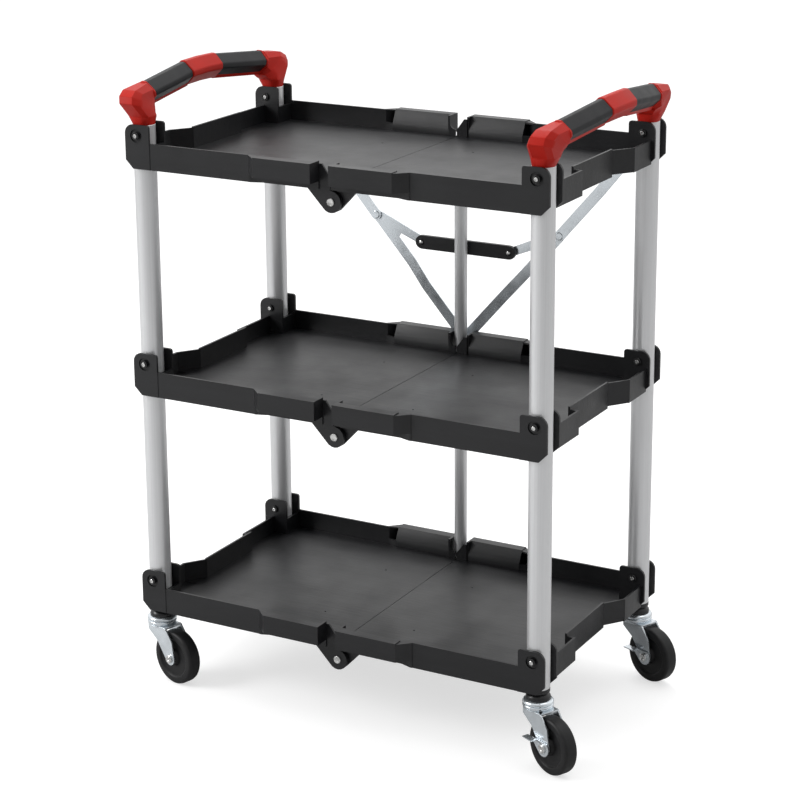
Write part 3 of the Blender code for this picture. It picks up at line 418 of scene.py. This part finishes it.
def bevel(piece, width, angle=30.0, clamp=False):
    """Rounded edges, applied."""
    change = piece.modifiers.new("edges", "BEVEL")
    change.width = width * MM
    change.segments = EDGE_STEPS
    change.limit_method = "ANGLE"
    change.angle_limit = math.radians(angle)
    change.use_clamp_overlap = clamp
    change.harden_normals = False
    pick(piece)
    bpy.ops.object.modifier_apply(modifier=change.name)
    return piece


def carve(piece, *cutters):
    """Cut the cutters out of the piece and remove them."""
    for cutter in cutters:
        change = piece.modifiers.new("cut", "BOOLEAN")
        change.operation = "DIFFERENCE"
        change.solver = "EXACT"
        change.object = cutter
        pick(piece)
        bpy.ops.object.modifier_apply(modifier=change.name)
        bpy.data.objects.remove(cutter)
    return piece


def joined(pieces, name):
    """Several meshes kept as one object."""
    bpy.ops.object.select_all(action="DESELECT")
    for piece in pieces:
        piece.select_set(True)
    bpy.context.view_layer.objects.active = pieces[0]
    bpy.ops.object.join()
    pieces[0].name = name
    return pieces[0]


def rod_y(radius, start, end, x, z, sides):
    """Round cutter along Y, drawn at its place."""
    bpy.ops.object.select_all(action="DESELECT")
    bpy.ops.mesh.primitive_cylinder_add(
        vertices=sides, radius=radius, depth=abs(end - start),
        location=(x, (start + end) / 2.0, z), rotation=(math.radians(90.0), 0.0, 0.0),
    )
    return settle(bpy.context.active_object)


def block(low, high):
    """Box between two corners in millimetres, drawn at its place."""
    bpy.ops.object.select_all(action="DESELECT")
    low = [value * MM for value in low]
    high = [value * MM for value in high]
    middle = [(a + b) / 2.0 for a, b in zip(low, high)]
    bpy.ops.mesh.primitive_cube_add(size=1.0, location=middle)
    piece = bpy.context.active_object
    piece.scale = [b - a for a, b in zip(low, high)]
    return settle(piece)


def merged(node, name):
    """Copy of a frame node with its corners merged and its flat faces made whole."""
    piece = bpy.data.objects.new(name, frame["nodes"][node].data.copy())
    bpy.context.scene.collection.objects.link(piece)
    piece.data.transform(Matrix.Translation(-MIDDLE))
    pick(piece)
    bpy.ops.mesh.customdata_custom_splitnormals_clear()
    bpy.ops.object.mode_set(mode="EDIT")
    bpy.ops.mesh.select_all(action="SELECT")
    bpy.ops.mesh.remove_doubles(threshold=MERGE_GAP)
    bpy.ops.mesh.dissolve_limited(angle_limit=math.radians(FLAT_ANGLE))
    bpy.ops.object.mode_set(mode="OBJECT")
    return piece


def dress(piece, finish, body):
    """Give the piece its finish, bring it to the cart's place and let it ride on a body."""
    piece.data.transform(Matrix.Translation(MIDDLE))
    piece.data.materials.clear()
    piece.data.materials.append(finish)
    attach(piece, body)
    return piece


def fit(piece, finish, node):
    """Give the piece its finish and put it in the place of a frame node."""
    dress(piece, finish, BODY_OF[node])
    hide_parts(node)
    return piece


LIE_FRONT = Matrix.Rotation(math.radians(90.0), 4, "X")
LIE_BACK = Matrix.Rotation(math.radians(-90.0), 4, "X")


def moved(x, y, z):
    """Matrix that moves a piece."""
    return Matrix.Translation((x, y, z))


# Half-trays: one moulding, turned round for the right halves

def half_tray_moulding():
    """Left middle half with sunk bolt seats, set-back walls, floor dimples and soft edges."""
    tray = merged("tray_middle_left", "half_tray")
    z = BOLT_Z["middle"] / MM
    ear = -HALF_SPAN / MM + EAR_EDGE
    for side in (-1.0, 1.0):
        face = side * OUTER_FACE
        start, end = face - side * SEAT_DEPTH * MM, face + side * CUT_PAST * MM
        seat = rod_y(SEAT_R, start, end, -HALF_SPAN, z * MM, SEAT_SIDES)
        depths = sorted((side * SET_BACK_FACE, side * SET_BACK_PAST))
        skim = block((ear, depths[0], z - SET_BACK_HEIGHT), (SET_BACK_END, depths[1], z))
        bpy.ops.object.select_all(action="DESELECT")
        bpy.ops.mesh.primitive_cylinder_add(
            vertices=DIMPLE_SIDES, radius=DIMPLE_R, depth=DIMPLE_CUT,
            location=(DIMPLE_X, side * DIMPLE_Y * MM, (z - FLOOR_DROP) * MM),
        )
        carve(tray, seat, skim, settle(bpy.context.active_object))
    bevel(tray, TRAY_ROUNDING, 28.0, clamp=True)
    return even(tray, 42.0)


def make_trays():
    """The six half-trays, each a copy of the one moulding."""
    moulding = half_tray_moulding()
    for shelf, z in BOLT_Z.items():
        lift = moved(0.0, 0.0, z - BOLT_Z["middle"])
        for side in SIDES:
            turn = Matrix.Rotation(math.pi if side == "right" else 0.0, 4, "Z")
            name = f"tray_{shelf}_{side}"
            fit(twin(moulding, f"{name}_moulding", lift @ turn), CHARCOAL, name)
    bpy.data.objects.remove(moulding)


# Legs, post and fasteners

def make_legs():
    """Four tubes with cross holes for the bolts."""
    profile = [
        (TUBE_R / MM - TUBE_EDGE, TUBE_BOTTOM / MM), (TUBE_R / MM, TUBE_BOTTOM / MM + TUBE_EDGE),
        (TUBE_R / MM, TUBE_TOP / MM - TUBE_EDGE), (TUBE_R / MM - TUBE_EDGE, TUBE_TOP / MM),
        ((TUBE_R - TUBE_WALL) / MM, TUBE_TOP / MM), ((TUBE_R - TUBE_WALL) / MM, TUBE_BOTTOM / MM),
    ]
    tube = turned("tube", profile, TUBE_SIDES, bored=True)
    for z in BOLT_Z.values():
        carve(tube, rod_y(LEG_BORE_R, -LEG_BORE_REACH, LEG_BORE_REACH, 0.0, z, BORE_SIDES))
    even(tube, 35.0)
    for corner, (x, y) in CORNERS.items():
        node = f"leg_{corner}"
        fit(twin(tube, f"{node}_tube", moved(x, y, 0.0)), ALUMINIUM, node)
    bpy.data.objects.remove(tube)


def screw_solid(name, length):
    """Dark round head with an open rim, shank and a six-sided nut with the shank's end."""
    body = turned(name, [
        (3.3, -0.8), (3.35, -1.9), (4.2, -2.7), (5.1, -2.6), (5.6, -1.9), (5.6, -0.2), (5.3, 0.0),
        (4.0, 0.0), (4.0, length + 2.6), (3.4, length + 3.2),
    ], HEAD_SIDES)
    nut = turned(f"{name}_nut", [
        (4.9, length), (5.6, length + 0.5), (5.6, length + 2.0), (4.9, length + 2.5),
    ], HEXAGON)
    return even(joined([body, nut], name), 34.0)


def stud_solid(name):
    """Bright button with a six-sided socket, seen inside the rim of the dark head."""
    profile = [(1.8, -3.1), (2.4, -3.2), (2.9, -2.8), (3.1, -2.1), (3.1, -0.6)]
    stud = turned(name, profile, STUD_SIDES)
    bpy.ops.object.select_all(action="DESELECT")
    bpy.ops.mesh.primitive_cylinder_add(
        vertices=HEXAGON, radius=1.7 * MM, depth=2.0 * MM, location=(0.0, 0.0, -3.2 * MM),
    )
    carve(stud, settle(bpy.context.active_object))
    return even(stud, 32.0)


def place_bolts(length, places):
    """One bolt and its bright stud, copied to each (node, place)."""
    bolt = screw_solid("bolt", length)
    stud = stud_solid("stud")
    for node, place in places:
        fit(twin(bolt, f"{node}_screw", place), BLACK, node)
        dress(twin(stud, f"{node}_stud", place), STEEL, BODY_OF[node])
    bpy.data.objects.remove(bolt)
    bpy.data.objects.remove(stud)


def make_leg_bolts():
    """Ten leg bolts, and the two longer ones that also carry the upper links."""
    places = []
    for corner, (x, y) in CORNERS.items():
        front = y < 0.0
        for shelf, z in BOLT_Z.items():
            if shelf == "top" and not front:
                continue
            start = (-OUTER_FACE if front else INNER_FACE) - HEAD_GAP * MM
            places.append((f"leg_bolt_{corner}_{shelf}", moved(x, start, z) @ LIE_BACK))
    place_bolts((OUTER_FACE - INNER_FACE) / MM + 2.0 * HEAD_GAP, places)
    start = INNER_FACE - HEAD_GAP * MM
    places = []
    for side, sign in SIDES.items():
        place = moved(sign * HALF_SPAN, start, BOLT_Z["top"]) @ LIE_BACK
        places.append((f"brace_bolt_{side}", place))
    place_bolts(LINK_FOOT + LINK_STRAP + HEAD_GAP - start / MM, places)


def make_hinge_pins():
    """Peened pins: a flat head with a dimple and a long shank."""
    for shelf, bolt_z in BOLT_Z.items():
        z = bolt_z - PIN_DROP
        for end, start, stop in HINGE_PINS:
            length = stop - start
            profile = [
                (1.2, -1.4), (2.0, -1.5), (4.6, -2.0), (5.5, -1.3), (5.5, 0.0), (3.0, 0.0),
                (3.0, length - 0.5), (2.5, length),
            ]
            pin = turned("pin", profile, PIN_SIDES)
            settle(pin, moved(0.0, start * MM, z) @ LIE_BACK)
            node = f"hinge_pin_{end}_{shelf}"
            pin.name = f"{node}_steel"
            fit(even(pin, 30.0), STEEL, node)


def make_post():
    """Centre post: a round tube with a cross hole for each shelf's back hinge pin."""
    bottom = (BOLT_Z["bottom"] - PIN_DROP) / MM - POST_BELOW_PIN
    top = (BOLT_Z["top"] - PIN_DROP) / MM + POST_ABOVE_PIN
    outer = POST_R / MM
    profile = [
        (outer - TUBE_EDGE, bottom), (outer, bottom + TUBE_EDGE),
        (outer, top - TUBE_EDGE), (outer - TUBE_EDGE, top),
        (outer - POST_WALL, top), (outer - POST_WALL, bottom),
    ]
    post = turned("centre_post_tube", profile, POST_SIDES, bored=True)
    settle(post, moved(0.0, POST_DEPTH, 0.0))
    for shelf in BOLT_Z.values():
        z = shelf - PIN_DROP
        start, end = POST_DEPTH - POST_BORE_REACH, POST_DEPTH + POST_BORE_REACH
        carve(post, rod_y(POST_BORE_R, start, end, 0.0, z, BORE_SIDES))
    fit(even(post, 35.0), ALUMINIUM, "centre_post")


# Handles and grips: sections with four wide slanted flats and narrow edges, lofted along the
# bow. A section is outer point, inner point (depth, height above the bolt), half-width, lean.
# Steps give the points of a quarter ring as angle and reach.

ELBOW_SECTIONS = (
    ((-183.6, 14.0), (-152.4, 14.0), 15.4, 0.0),
    ((-183.7, 25.2), (-152.3, 25.2), 17.2, 2.0),
    ((-203.5, 46.0), (-147.5, 28.0), 17.0, 4.5),
    ((-200.5, 56.0), (-145.0, 31.0), 17.0, 6.5),
    ((-188.5, 63.0), (-143.5, 33.5), 17.0, 8.5),
    ((-148.5, 69.3), (-141.0, 36.2), 16.8, 11.0),
)
CHEEK_SECTION = ELBOW_SECTIONS[-1]
BAND_SECTION = ((-39.5, 80.2), (-36.5, 46.2), 17.0, 20.0)
MIDDLE_SECTION = ((0.0, 81.0), (0.0, 47.0), 17.0, 21.0)
# How squared the first five elbow sections are: 0 is round like the plug, 1 is a block
ELBOW_SQUARE = (0.0, 1.0, 1.0, 1.0, 1.0)
CORE_RATIO = 0.72
SLEEVE_GAP = 0.4
GRIP_HALF_WIDTH = 17.0
PLUG_R = 13.9
PLUG_BOTTOM = -18.0
PLUG_TOP = 14.0
GRIP_STEPS = (
    (7.0, 1.0075), (12.0, 0.9985), (17.0, 0.974), (73.0, 0.974), (78.0, 0.9985), (83.0, 1.0075),
)
ELBOW_STEPS = (
    (7.0, 1.0075), (20.0, 1.064), (31.8, 1.17), (58.2, 1.17), (70.0, 1.064), (83.0, 1.0075),
)
ROUND_STEPS = ((7.0, 1.0), (22.0, 1.0), (37.0, 1.0), (53.0, 1.0), (68.0, 1.0), (83.0, 1.0))


def section_point(side, end, section, angle, ratio, along=0.0):
    """Point at an angle round one section, a distance along the bow."""
    (outer_y, outer_z), (inner_y, inner_z), half_width, lean = section
    half_y, half_z = (outer_y - inner_y) / 2.0, (outer_z - inner_z) / 2.0
    length = math.hypot(half_y, half_z)
    run_y, run_z = -half_z / length, half_y / length
    if run_y < 0.0:
        run_y, run_z = -run_y, -run_z
    swing = math.cos(math.radians(angle)) * ratio
    y = (outer_y + inner_y) / 2.0 + half_y * swing + run_y * along
    z = (outer_z + inner_z) / 2.0 + half_z * swing + run_z * along
    x = side * (HALF_SPAN / MM + lean + half_width * ratio * math.sin(math.radians(angle)))
    return Vector((x, -end * y, BOLT_Z["top"] / MM + z)) * MM


def mixed(first, second, share):
    """Ring steps between two kinds of ring."""
    return [(a + (c - a) * share, b + (d - b) * share) for (a, b), (c, d) in zip(first, second)]


def section_ring(side, end, section, ratio=1.0, along=0.0, steps=GRIP_STEPS):
    """Ring round one section, a quarter at a time."""
    return [section_point(side, end, section, 90.0 * quarter + angle, ratio * reach, along)
            for quarter in range(4) for angle, reach in steps]


def eased(rings, share=0.08):
    """Round off the bends between rings by taking each corner in two short steps."""
    result = [rings[0]]
    for before, here, after in zip(rings, rings[1:], rings[2:]):
        near = [h.lerp(b, share) for h, b in zip(here, before)]
        far = [h.lerp(a, share) for h, a in zip(here, after)]
        result += [near, far]
    return result + [rings[-1]]


def between(first, second, share):
    """Section part of the way from one section to another."""
    def blend(a, b):
        """Number or point part of the way from one to another."""
        if isinstance(a, tuple):
            return tuple(blend(c, d) for c, d in zip(a, b))
        return a + (b - a) * share

    return blend(first, second)


def loft(name, rings, closed=False):
    """Skin through rings of points; a closed run joins its last ring to its first."""
    count = len(rings[0])
    points = [point for ring in rings for point in ring]
    faces = []
    pairs = list(zip(range(len(rings)), range(1, len(rings))))
    if closed:
        pairs.append((len(rings) - 1, 0))
    for low, high in pairs:
        for i in range(count):
            j = (i + 1) % count
            faces.append((low * count + i, low * count + j, high * count + j, high * count + i))
    if not closed:
        faces.append(tuple(reversed(range(count))))
        faces.append(tuple((len(rings) - 1) * count + i for i in range(count)))
    mesh = bpy.data.meshes.new(name)
    mesh.from_pydata(points, [], faces)
    piece = bpy.data.objects.new(name, mesh)
    bpy.context.scene.collection.objects.link(piece)
    pick(piece)
    bpy.ops.object.mode_set(mode="EDIT")
    bpy.ops.mesh.select_all(action="SELECT")
    bpy.ops.mesh.normals_make_consistent(inside=False)
    bpy.ops.object.mode_set(mode="OBJECT")
    return piece


def half_handle(side, end):
    """Rings from the plug in the leg's mouth over the elbow and the core to the middle band."""
    outer, inner = -LEG_DEPTH - PLUG_R, -LEG_DEPTH + PLUG_R
    rings = [section_ring(side, end, ((outer, z), (inner, z), PLUG_R, 0.0), steps=ROUND_STEPS)
             for z in (PLUG_BOTTOM, PLUG_TOP)]
    elbow = [section_ring(side, end, section, steps=mixed(ROUND_STEPS, ELBOW_STEPS, share))
             for section, share in zip(ELBOW_SECTIONS, ELBOW_SQUARE)]
    half_square = mixed(GRIP_STEPS, ELBOW_STEPS, 0.5)
    elbow.append(section_ring(side, end, CHEEK_SECTION, 0.95, -4.2, half_square))
    rings += eased(elbow)
    # Ratio and distance along the bow of the rings at the collar and at the middle band
    collar = ((1.035, -3.4), (1.035, -0.6), (1.0, 0.2), (0.9, 0.3), (CORE_RATIO, 0.3))
    rings += [section_ring(side, end, CHEEK_SECTION, ratio, along) for ratio, along in collar]
    band = ((CORE_RATIO, -0.3), (0.9, -0.3), (1.0, -0.2), (1.05, 1.2))
    rings += [section_ring(side, end, BAND_SECTION, ratio, along) for ratio, along in band]
    return rings


def grip_strip(side, end):
    """Narrow red rib that shows below the soft sleeve."""
    steps = ((150.0, 0.8), (168.0, 1.13), (180.0, 1.14), (192.0, 1.13), (210.0, 0.8))
    halfway = between(CHEEK_SECTION, BAND_SECTION, 0.5)
    rings = []
    for section, along in ((CHEEK_SECTION, -1.0), (halfway, 0.0), (BAND_SECTION, 1.0)):
        rings.append([section_point(side, end, section, angle, ratio, along)
                      for angle, ratio in steps])
    return loft("strip", rings)


def grip_sleeve(name, side, end):
    """Soft sleeve round the handle's core, from the elbow's cheek to the middle band."""
    halfway = between(CHEEK_SECTION, BAND_SECTION, 0.5)
    outer = [section_ring(side, end, section, ratio, along) for section, ratio, along in (
        (CHEEK_SECTION, 0.93, 0.5), (CHEEK_SECTION, 0.97, 1.6), (halfway, 0.975, 0.0),
        (BAND_SECTION, 0.97, -1.6), (BAND_SECTION, 0.93, -0.5))]
    core = CORE_RATIO + SLEEVE_GAP / GRIP_HALF_WIDTH
    inner = [section_ring(side, end, CHEEK_SECTION, core, 0.5),
             section_ring(side, end, BAND_SECTION, core, -0.5)]
    return loft(name, outer + list(reversed(inner)), closed=True)


def make_handles():
    """Two red handles, each with a rib and a soft sleeve on either side of its middle band."""
    for name, side in SIDES.items():
        middle = [section_ring(side, -1, MIDDLE_SECTION, 1.05)]
        rings = half_handle(side, -1) + middle + list(reversed(half_handle(side, 1)))
        handle = loft(f"handle_{name}_moulding", rings)
        for y in (-HALF_DEPTH, HALF_DEPTH):
            start, end = y - LEG_BORE_REACH, y + LEG_BORE_REACH
            x, z = side * HALF_SPAN, BOLT_Z["top"]
            carve(handle, rod_y(LEG_BORE_R, start, end, x, z, BORE_SIDES))
        fit(even(handle, 30.0), RED, f"handle_{name}")
        for end_name, end in (("front", -1), ("back", 1)):
            strip = grip_strip(side, end)
            strip.name = f"handle_{end_name}_{name}_rib"
            dress(even(strip, 30.0), RED, BODY_OF[f"handle_{name}"])
            node = f"grip_{end_name}_{name}"
            fit(even(grip_sleeve(f"{node}_sleeve", side, end), 40.0), GRIP, node)


# Braces and pull bar

def make_braces():
    """Links, yokes, their pivot pin, and the pull bar with its two bright rivets."""
    for name in SIDES:
        for node in (f"upper_link_{name}", f"brace_yoke_{name}"):
            piece = merged(node, f"{node}_steel")
            bevel(piece, STRAP_ROUNDING)
            fit(even(piece, 40.0), ZINC, node)
    bar = merged("pull_bar", "pull_bar_moulding")
    bevel(bar, BAR_ROUNDING, 40.0)
    fit(even(bar, 40.0), CHARCOAL, "pull_bar")
    low, high = (Vector(corner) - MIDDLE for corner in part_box("pull_bar"))
    for name, sign in SIDES.items():
        profile = [(1.0, -1.9), (2.4, -1.75), (3.3, -1.1), (3.5, -0.2), (3.5, 0.6)]
        rivet = turned(f"pull_bar_rivet_{name}", profile, RIVET_SIDES)
        place = moved(sign * BAR_RIVET_X, low.y + BAR_RIVET_SEAT, (low.z + high.z) / 2.0)
        settle(rivet, place @ LIE_BACK)
        dress(even(rivet, 34.0), STEEL, BODY_OF["pull_bar"])
    pin = merged("brace_pivot_pin", "brace_pivot_rivet")
    fit(even(pin, 40.0), STEEL, "brace_pivot_pin")


# Castors, drawn trailing along +X with the swivel axis through the origin

def castor_place(corner):
    """Place and turn of one castor under its leg."""
    x, y = CORNERS[corner]
    return moved(x, y, 0.0) @ Matrix.Rotation(math.radians(CASTOR_TURN[corner]), 4, "Z")


def make_castors():
    """Race, plug, fork, wheel and axle at each leg, and a brake lever on the right ones."""
    race = turned("race", [
        (6.0, 91.3), (19.6, 91.3), (20.9, 91.7), (21.5, 92.7), (21.2, 94.3), (20.3, 95.7),
        (18.9, 96.7), (17.4, 97.0), (17.0, 97.2),
    ], RACE_SIDES)
    plug = turned("plug", [
        (16.2, 97.3), (17.0, 98.0), (17.2, 99.4), (16.8, 101.4), (15.4, 103.8), (13.4, 105.4),
        (12.2, 106.6), (14.9, 107.0), (15.7, 107.4), (16.1, 108.2), (16.1, 112.2), (15.6, 112.7),
        (13.9, 112.7), (13.9, 138.6), (13.2, 139.0),
    ], RACE_SIDES)
    even(race, 30.0)
    even(plug, 30.0)
    r = WHEEL_R / MM
    half = [
        (4.3, 13.0), (9.6, 13.0), (10.8, 12.4), (11.6, 10.6), (12.8, 7.4), (26.0, 7.2),
        (27.6, 7.9), (28.8, 9.8), (30.0, 10.5), (35.6, 10.5), (37.8, 9.9), (39.3, 8.4), (r, 6.0),
    ]
    profile = half + [(radius, -z) for radius, z in reversed(half)]
    tyre = turned("tyre", profile, WHEEL_SIDES, bored=True)
    settle(tyre, moved(TRAIL, 0.0, r * MM) @ LIE_FRONT)
    even(tyre, 32.0)
    for corner in CORNERS:
        place = castor_place(corner)
        node = f"castor_stem_{corner}"
        fit(twin(race, f"{node}_race", place), ZINC, node)
        dress(twin(plug, f"{node}_plug", place), BLACK, BODY_OF[node])
        fit(twin(tyre, f"wheel_{corner}_tyre", place), TREAD, f"wheel_{corner}")
        fork = merged(f"castor_fork_{corner}", f"castor_fork_{corner}_pressing")
        bevel(fork, FORK_ROUNDING)
        fit(even(fork, 40.0), ZINC, f"castor_fork_{corner}")
        past_fork = LEVER_GAP + LEVER_T + AXLE_GAP if corner in BRAKED else AXLE_GAP
        front = FORK_OUTER + past_fork
        axle = turned("axle", [
            (1.8, -17.6), (2.6, -18.3), (4.6, -19.3), (6.2, -18.4), (6.2, -16.3), (4.0, -16.3),
            (4.0, front), (6.2, front), (6.2, front + 2.1), (4.6, front + 3.0), (2.6, front + 2.2),
            (1.8, front + 1.5),
        ], HEAD_SIDES)
        settle(axle, place @ moved(TRAIL, 0.0, r * MM) @ LIE_FRONT)
        axle.name = f"axle_{corner}_bolt"
        fit(even(axle, 30.0), STEEL, f"axle_{corner}")
    for thing in (race, plug, tyre):
        bpy.data.objects.remove(thing)
    for corner in BRAKED:
        lever = merged(f"brake_lever_{corner}", f"brake_lever_{corner}_pressing")
        bevel(lever, LEVER_ROUNDING)
        fit(even(lever, 40.0), ZINC, f"brake_lever_{corner}")


# Studio

FLOOR_SIZE = 60.0
FLOOR_GREY = 0.56
FLOOR_GLOW = 0.62
# World light: where it comes from, the ends of its slope, and its level at each end
LIGHT_FROM = (-0.25, 0.7, 0.6)
LIGHT_ENDS = (-0.8, 0.7)
LIGHT_LEVELS = (0.2, 1.0)
# Each lamp's place, the point that it is aimed at, its size and its watts
LAMPS = {
    "key": ((-2.8, -2.2, 2.2), (0.0, 0.0, 0.45), (1.6, 1.6), 75.0),
    "top": ((0.3, 0.4, 3.2), (0.0, 0.0, 0.4), (2.4, 2.4), 22.0),
    "behind": ((-1.3, 2.0, 3.4), (0.0, 0.0, 0.8), (1.4, 1.2), 22.0),
}
# Camera fitted to the photograph; its angles are yaw, pitch and roll in degrees
CAMERA_PLACE = (1.5296, -2.7568, 1.4323)
CAMERA_ANGLES = (-28.964, 15.772, 0.378)
CAMERA_LENS = 104.32
CAMERA_SENSOR = 36.0
CAMERA_SHIFT = -0.10
CAMERA_REACH = 100.0


def make_floor():
    """Pale floor that keeps the cart's shadow and runs out into the white background."""
    bpy.ops.object.select_all(action="DESELECT")
    bpy.ops.mesh.primitive_plane_add(size=FLOOR_SIZE, location=(0.0, 0.0, 0.0))
    floor = bpy.context.active_object
    floor.name = "studio_floor"
    material = bpy.data.materials.new("studio floor")
    material.use_nodes = True
    tree = material.node_tree
    shader = tree.nodes["Principled BSDF"]
    shader.inputs["Base Color"].default_value = (FLOOR_GREY, FLOOR_GREY, FLOOR_GREY, 1.0)
    shader.inputs["Roughness"].default_value = 0.9
    shader.inputs["Specular IOR Level"].default_value = 0.0
    shader.inputs["Emission Color"].default_value = (1.0, 1.0, 1.0, 1.0)
    path = tree.nodes.new("ShaderNodeLightPath")
    glow = tree.nodes.new("ShaderNodeMath")
    glow.operation = "MULTIPLY"
    glow.inputs[1].default_value = FLOOR_GLOW
    tree.links.new(path.outputs["Is Camera Ray"], glow.inputs[0])
    tree.links.new(glow.outputs[0], shader.inputs["Emission Strength"])
    floor.data.materials.append(material)


def make_world():
    """White behind the cart; for the light itself, brighter above and behind, dimmer in front."""
    world = bpy.data.worlds.new("studio")
    world.use_nodes = True
    bpy.context.scene.world = world
    tree = world.node_tree
    light = tree.nodes["Background"]
    light.inputs["Color"].default_value = (1.0, 1.0, 1.0, 1.0)
    place = tree.nodes.new("ShaderNodeTexCoord")
    slope = tree.nodes.new("ShaderNodeVectorMath")
    slope.operation = "DOT_PRODUCT"
    slope.inputs[1].default_value = LIGHT_FROM
    tree.links.new(place.outputs["Generated"], slope.inputs[0])
    dim = tree.nodes.new("ShaderNodeMapRange")
    dim.inputs["From Min"].default_value, dim.inputs["From Max"].default_value = LIGHT_ENDS
    dim.inputs["To Min"].default_value, dim.inputs["To Max"].default_value = LIGHT_LEVELS
    tree.links.new(slope.outputs["Value"], dim.inputs["Value"])
    path = tree.nodes.new("ShaderNodeLightPath")
    level = tree.nodes.new("ShaderNodeMath")
    level.operation = "MAXIMUM"
    tree.links.new(path.outputs["Is Camera Ray"], level.inputs[0])
    tree.links.new(dim.outputs["Result"], level.inputs[1])
    tree.links.new(level.outputs[0], light.inputs["Strength"])


def lamp(name, place, target, size, watts):
    """Soft square lamp aimed at a point."""
    data = bpy.data.lights.new(name, "AREA")
    data.shape = "RECTANGLE"
    data.size, data.size_y = size
    data.energy = watts
    thing = bpy.data.objects.new(name, data)
    bpy.context.scene.collection.objects.link(thing)
    thing.location = place
    thing.rotation_mode = "QUATERNION"
    aim = Vector(target) - Vector(place)
    thing.rotation_quaternion = aim.to_track_quat("-Z", "Y")


def make_camera():
    """Camera at the photograph's angle."""
    yaw, pitch, roll = (math.radians(angle) for angle in CAMERA_ANGLES)
    ahead = Vector((
        math.sin(yaw) * math.cos(pitch), math.cos(yaw) * math.cos(pitch), -math.sin(pitch),
    ))
    right = Vector((math.cos(yaw), -math.sin(yaw), 0.0))
    down = ahead.cross(right)
    across = right * math.cos(roll) + down * math.sin(roll)
    below = down * math.cos(roll) - right * math.sin(roll)
    data = bpy.data.cameras.new("camera")
    data.lens = CAMERA_LENS
    data.shift_y = CAMERA_SHIFT
    data.sensor_width = CAMERA_SENSOR
    data.clip_end = CAMERA_REACH
    camera = bpy.data.objects.new("camera", data)
    bpy.context.scene.collection.objects.link(camera)
    turn = Matrix((across, -below, -ahead)).transposed().to_4x4()
    camera.matrix_world = Matrix.Translation(MIDDLE) @ moved(*CAMERA_PLACE) @ turn
    bpy.context.scene.camera = camera


make_camera()
make_trays()
make_legs()
make_leg_bolts()
make_hinge_pins()
make_post()
make_handles()
make_braces()
make_castors()
make_floor()
make_world()
for lamp_name, values in LAMPS.items():
    lamp(lamp_name, *values)
bpy.context.scene.view_settings.view_transform = "Standard"
